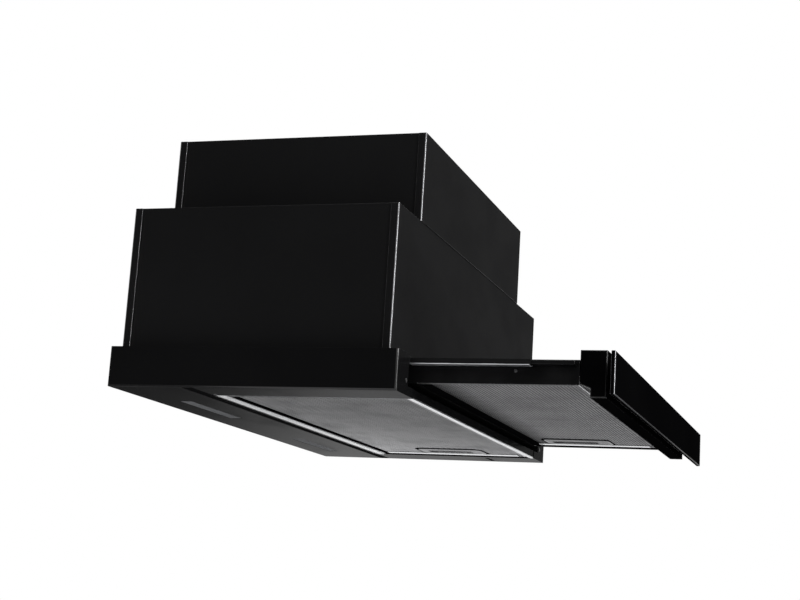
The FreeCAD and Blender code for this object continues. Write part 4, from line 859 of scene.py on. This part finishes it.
def makeGland():
    low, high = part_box("cable_gland")
    (middleX, middleY), (half, _) = spread((low.x, high.x), (low.y, high.y))
    height = (high.z - low.z) / mm
    bore, reach = gland["bore"], half / mm
    stem = reach - gland["collar"]
    profile = [(bore, 0.0), (stem - 0.6, 0.0), (stem, 0.6), (stem, 5.0), (reach, 5.0), (reach, 5.9),
               (reach - 0.3, 6.2), (reach - 1.0, 6.4), (reach - 1.0, 6.7), (reach - 1.1, 8.5),
               (reach - 1.3, height - 3.0), (reach - 2.2, height - 1.6), (reach - 3.4, height - 0.5),
               (bore + 0.7, height), (bore, height - 0.4), (bore, 0.02)]
    gripLow, gripHigh = gland["grip"][0] * mm, (height - gland["grip"][1]) * mm

    def ribbed(radius, z, angle):
        if not gripLow < z < gripHigh or radius <= (bore + gland["gripIn"]) * mm:
            return radius
        return radius - gland["ribDepth"] * mm * (0.5 + 0.5 * math.cos(gland["ribs"] * angle))

    def build(shape):
        turnedRing(shape, [inMm(*point) for point in profile], (middleX, middleY, low.z), gland["steps"],
                   ribbed)

    piece = newPiece("cableGlandNut", build, finishes["black_plastic"], "hood", smooth=True)
    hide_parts("cable_gland")


makeGland()
print("stage: knobs and gland")

# lamp lenses: a flange above the sheet and a ribbed face in the window
lens = {"window": (63.0, 7.0), "windowCorner": 1.0, "flange": (65.0, 9.0), "flangeCorner": 1.5,
        "clear": 0.05, "flangeUp": 1.05, "faceUp": 0.3, "plain": (1.0, 0.8),
        "ribPitch": 2.0, "ribDepth": 0.28}


def makeLenses():
    low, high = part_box("lamp_lenses")
    middle = (low.y + high.y) / 2
    step, face = low.z + lens["flangeUp"] * mm, low.z + lens["faceUp"] * mm
    reach, wide = inMm(*(side - plain for side, plain in zip(lens["window"], lens["plain"])))
    count = int(2 * (lens["window"][0] - lens["plain"][0]) / lens["ribPitch"])

    def build(shape):
        for x in (low.x + lens["flange"][0] * mm, high.x - lens["flange"][0] * mm):
            loops = []
            for part, z in (("flange", high.z), ("flange", step), ("window", step), ("window", face)):
                half = inMm(*(side - lens["clear"] for side in lens[part]))
                loops.append(roundedLoop(z, (x, middle), half, lens[part + "Corner"] * mm))
            joinLoops(shape, loops, closeFirst=True, closeLast=True)
            edge = []
            for i in range(count * 4 + 1):  # four points to a rib
                dip = lens["ribDepth"] * mm * (0.5 - 0.5 * math.cos(i * math.pi / 2))
                edge.append([shape.verts.new((x - reach + i * 2 * reach / count / 4, middle + side * wide,
                                              face - dip)) for side in (-1, 1)])
            for first, second in zip(edge, edge[1:]):
                shape.faces.new((first[0], first[1], second[1], second[0]))

    piece = newPiece("lampLensRibbed", build, finishes["lamp_lens"], "hood")
    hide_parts("lamp_lenses")


makeLenses()
print("stage: lenses")

# camera at the photograph's place, found from the hood's own edges
cameraLook = {"place": (-1.60723, -0.59305, -0.23290), "azimuth": -71.461, "elevation": -11.351,
              "roll": 3.595, "lens": 70.008, "sensor": 36.0, "clipEnd": 50.0}


def makeCamera():
    azimuth, elevation, roll = (math.radians(cameraLook[key]) for key in ("azimuth", "elevation", "roll"))
    back = Vector((math.sin(azimuth) * math.cos(elevation), -math.cos(azimuth) * math.cos(elevation),
                   math.sin(elevation)))
    right = Vector((math.cos(azimuth), math.sin(azimuth), 0.0))
    tilted = math.cos(roll) * right + math.sin(roll) * back.cross(right)
    data = bpy.data.cameras.new("camera")
    data.lens = cameraLook["lens"]
    data.sensor_width = cameraLook["sensor"]
    data.clip_end = cameraLook["clipEnd"]
    camera = bpy.data.objects.new("camera", data)
    turn = Matrix((tilted, back.cross(tilted), back)).transposed()
    camera.matrix_world = Matrix.Translation(cameraLook["place"]) @ turn.to_4x4()
    bpy.context.scene.collection.objects.link(camera)
    bpy.context.scene.camera = camera


makeCamera()

# floor, lamps and world; a dark stretch is two directions' Y, then the brightness at each
studio = {
    "fill": 0.8, "darkBehind": (0.34, 0.5, 1.0, 0.14), "darkBefore": (-0.5, 0.0, 0.45, 1.0),
    "floor": {"height": -0.32, "size": 30.0, "white": (1.6, 3.0), "roughness": 0.9, "specular": 0.1,
              "pale": (0.86, 0.86, 0.87, 1.0), "patch": (0.82, 0.82, 0.83, 1.0)},
    "lamps": {"strip": {"place": (-0.75, -2.1, 0.5), "aim": (0.0, -0.1, 0.05), "size": (0.3, 2.2),
                        "power": 46.0},
              "top": {"place": (0.2, -0.4, 2.2), "aim": (0.0, 0.0, 0.0), "size": (1.8, 1.8),
                      "power": 24.0}},
}
black, white = (0.0, 0.0, 0.0, 1.0), (1.0, 1.0, 1.0, 1.0)


def seenDirectly(tree):  # rays that show the background: the camera's, and what metal and glass send on
    rays = tree.nodes.new("ShaderNodeLightPath").outputs
    return calc(tree, "MAXIMUM", rays["Is Camera Ray"],
                calc(tree, "MAXIMUM", rays["Is Glossy Ray"], rays["Is Transmission Ray"]))


def shownLevel(tree, place):  # full to the camera; to mirror rays the studio is darker behind and in front
    straight = tree.nodes.new("ShaderNodeVectorMath")
    straight.operation = "NORMALIZE"
    tree.links.new(place, straight.inputs[0])
    y = axes(tree, straight.outputs["Vector"])["Y"]
    shaded = times(tree, ramp(tree, y, *studio["darkBehind"]), ramp(tree, y, *studio["darkBefore"]))
    mirrored = tree.nodes.new("ShaderNodeLightPath").outputs["Is Glossy Ray"]
    return ramp(tree, mirrored, 0.0, 1.0, 1.0, shaded)


def blendShaders(tree, amount, first, second):
    blend = tree.nodes.new("ShaderNodeMixShader")
    for value, socket in zip((amount, first, second), blend.inputs):
        tree.links.new(value, socket)
    return blend.outputs["Shader"]


def makeFloorFinish(look):  # pale near the hood, white far off, and clear from below, to show the filters
    material, tree, shader = newMaterial("paleFloor")
    place = objectPlace(tree)
    level = shownLevel(tree, place)
    patches = ramp(tree, noise(tree, place, 5.0), 0.3, 0.7, 0.0, 0.3)
    feed(tree, mixColour(tree, level, black, mixColour(tree, patches, look["pale"], look["patch"])),
         shader.inputs["Base Color"])
    shader.inputs["Roughness"].default_value = look["roughness"]
    shader.inputs["Specular IOR Level"].default_value = look["specular"]
    distance = tree.nodes.new("ShaderNodeVectorMath")
    distance.operation = "LENGTH"
    tree.links.new(place, distance.inputs[0])
    far = times(tree, ramp(tree, distance.outputs["Value"], *look["white"]), seenDirectly(tree))
    plain = tree.nodes.new("ShaderNodeEmission")
    feed(tree, level, plain.inputs["Strength"])
    above = blendShaders(tree, far, shader.outputs["BSDF"], plain.outputs["Emission"])
    below = tree.nodes.new("ShaderNodeNewGeometry").outputs["Backfacing"]
    clear = tree.nodes.new("ShaderNodeBsdfTransparent").outputs["BSDF"]
    tree.links.new(blendShaders(tree, below, above, clear), surfaceOf(tree))
    return material


def makeFloor(look):
    mesh = bpy.data.meshes.new("floor")
    shape = bmesh.new()
    bmesh.ops.create_grid(shape, x_segments=2, y_segments=2, size=look["size"])
    shape.to_mesh(mesh)
    shape.free()
    mesh.materials.append(makeFloorFinish(look))
    floor = bpy.data.objects.new("floor", mesh)
    floor.location = (0.0, 0.0, look["height"])
    bpy.context.scene.collection.objects.link(floor)


def makeWorld():
    world = bpy.data.worlds.new("studio")
    bpy.context.scene.world = world
    world.use_nodes = True
    tree = world.node_tree
    background = next(node for node in tree.nodes if node.type == "BACKGROUND")
    around = tree.nodes.new("ShaderNodeTexCoord").outputs["Generated"]
    feed(tree, ramp(tree, seenDirectly(tree), 0.0, 1.0, studio["fill"], shownLevel(tree, around)),
         background.inputs["Strength"])
    background.inputs["Color"].default_value = white


def makeLamp(name, look):
    data = bpy.data.lights.new(name, "AREA")
    data.shape = "RECTANGLE"
    data.size, data.size_y = look["size"]
    data.energy = look["power"]
    lamp = bpy.data.objects.new(name, data)
    lamp.location = look["place"]
    lamp.rotation_euler = (Vector(look["aim"]) - Vector(look["place"])).to_track_quat("-Z", "Y").to_euler()
    bpy.context.scene.collection.objects.link(lamp)


makeFloor(studio["floor"])
makeWorld()
for name, look in studio["lamps"].items():
    makeLamp(name, look)
print("stage: studio")

bpy.context.scene.view_settings.view_transform = "Standard"
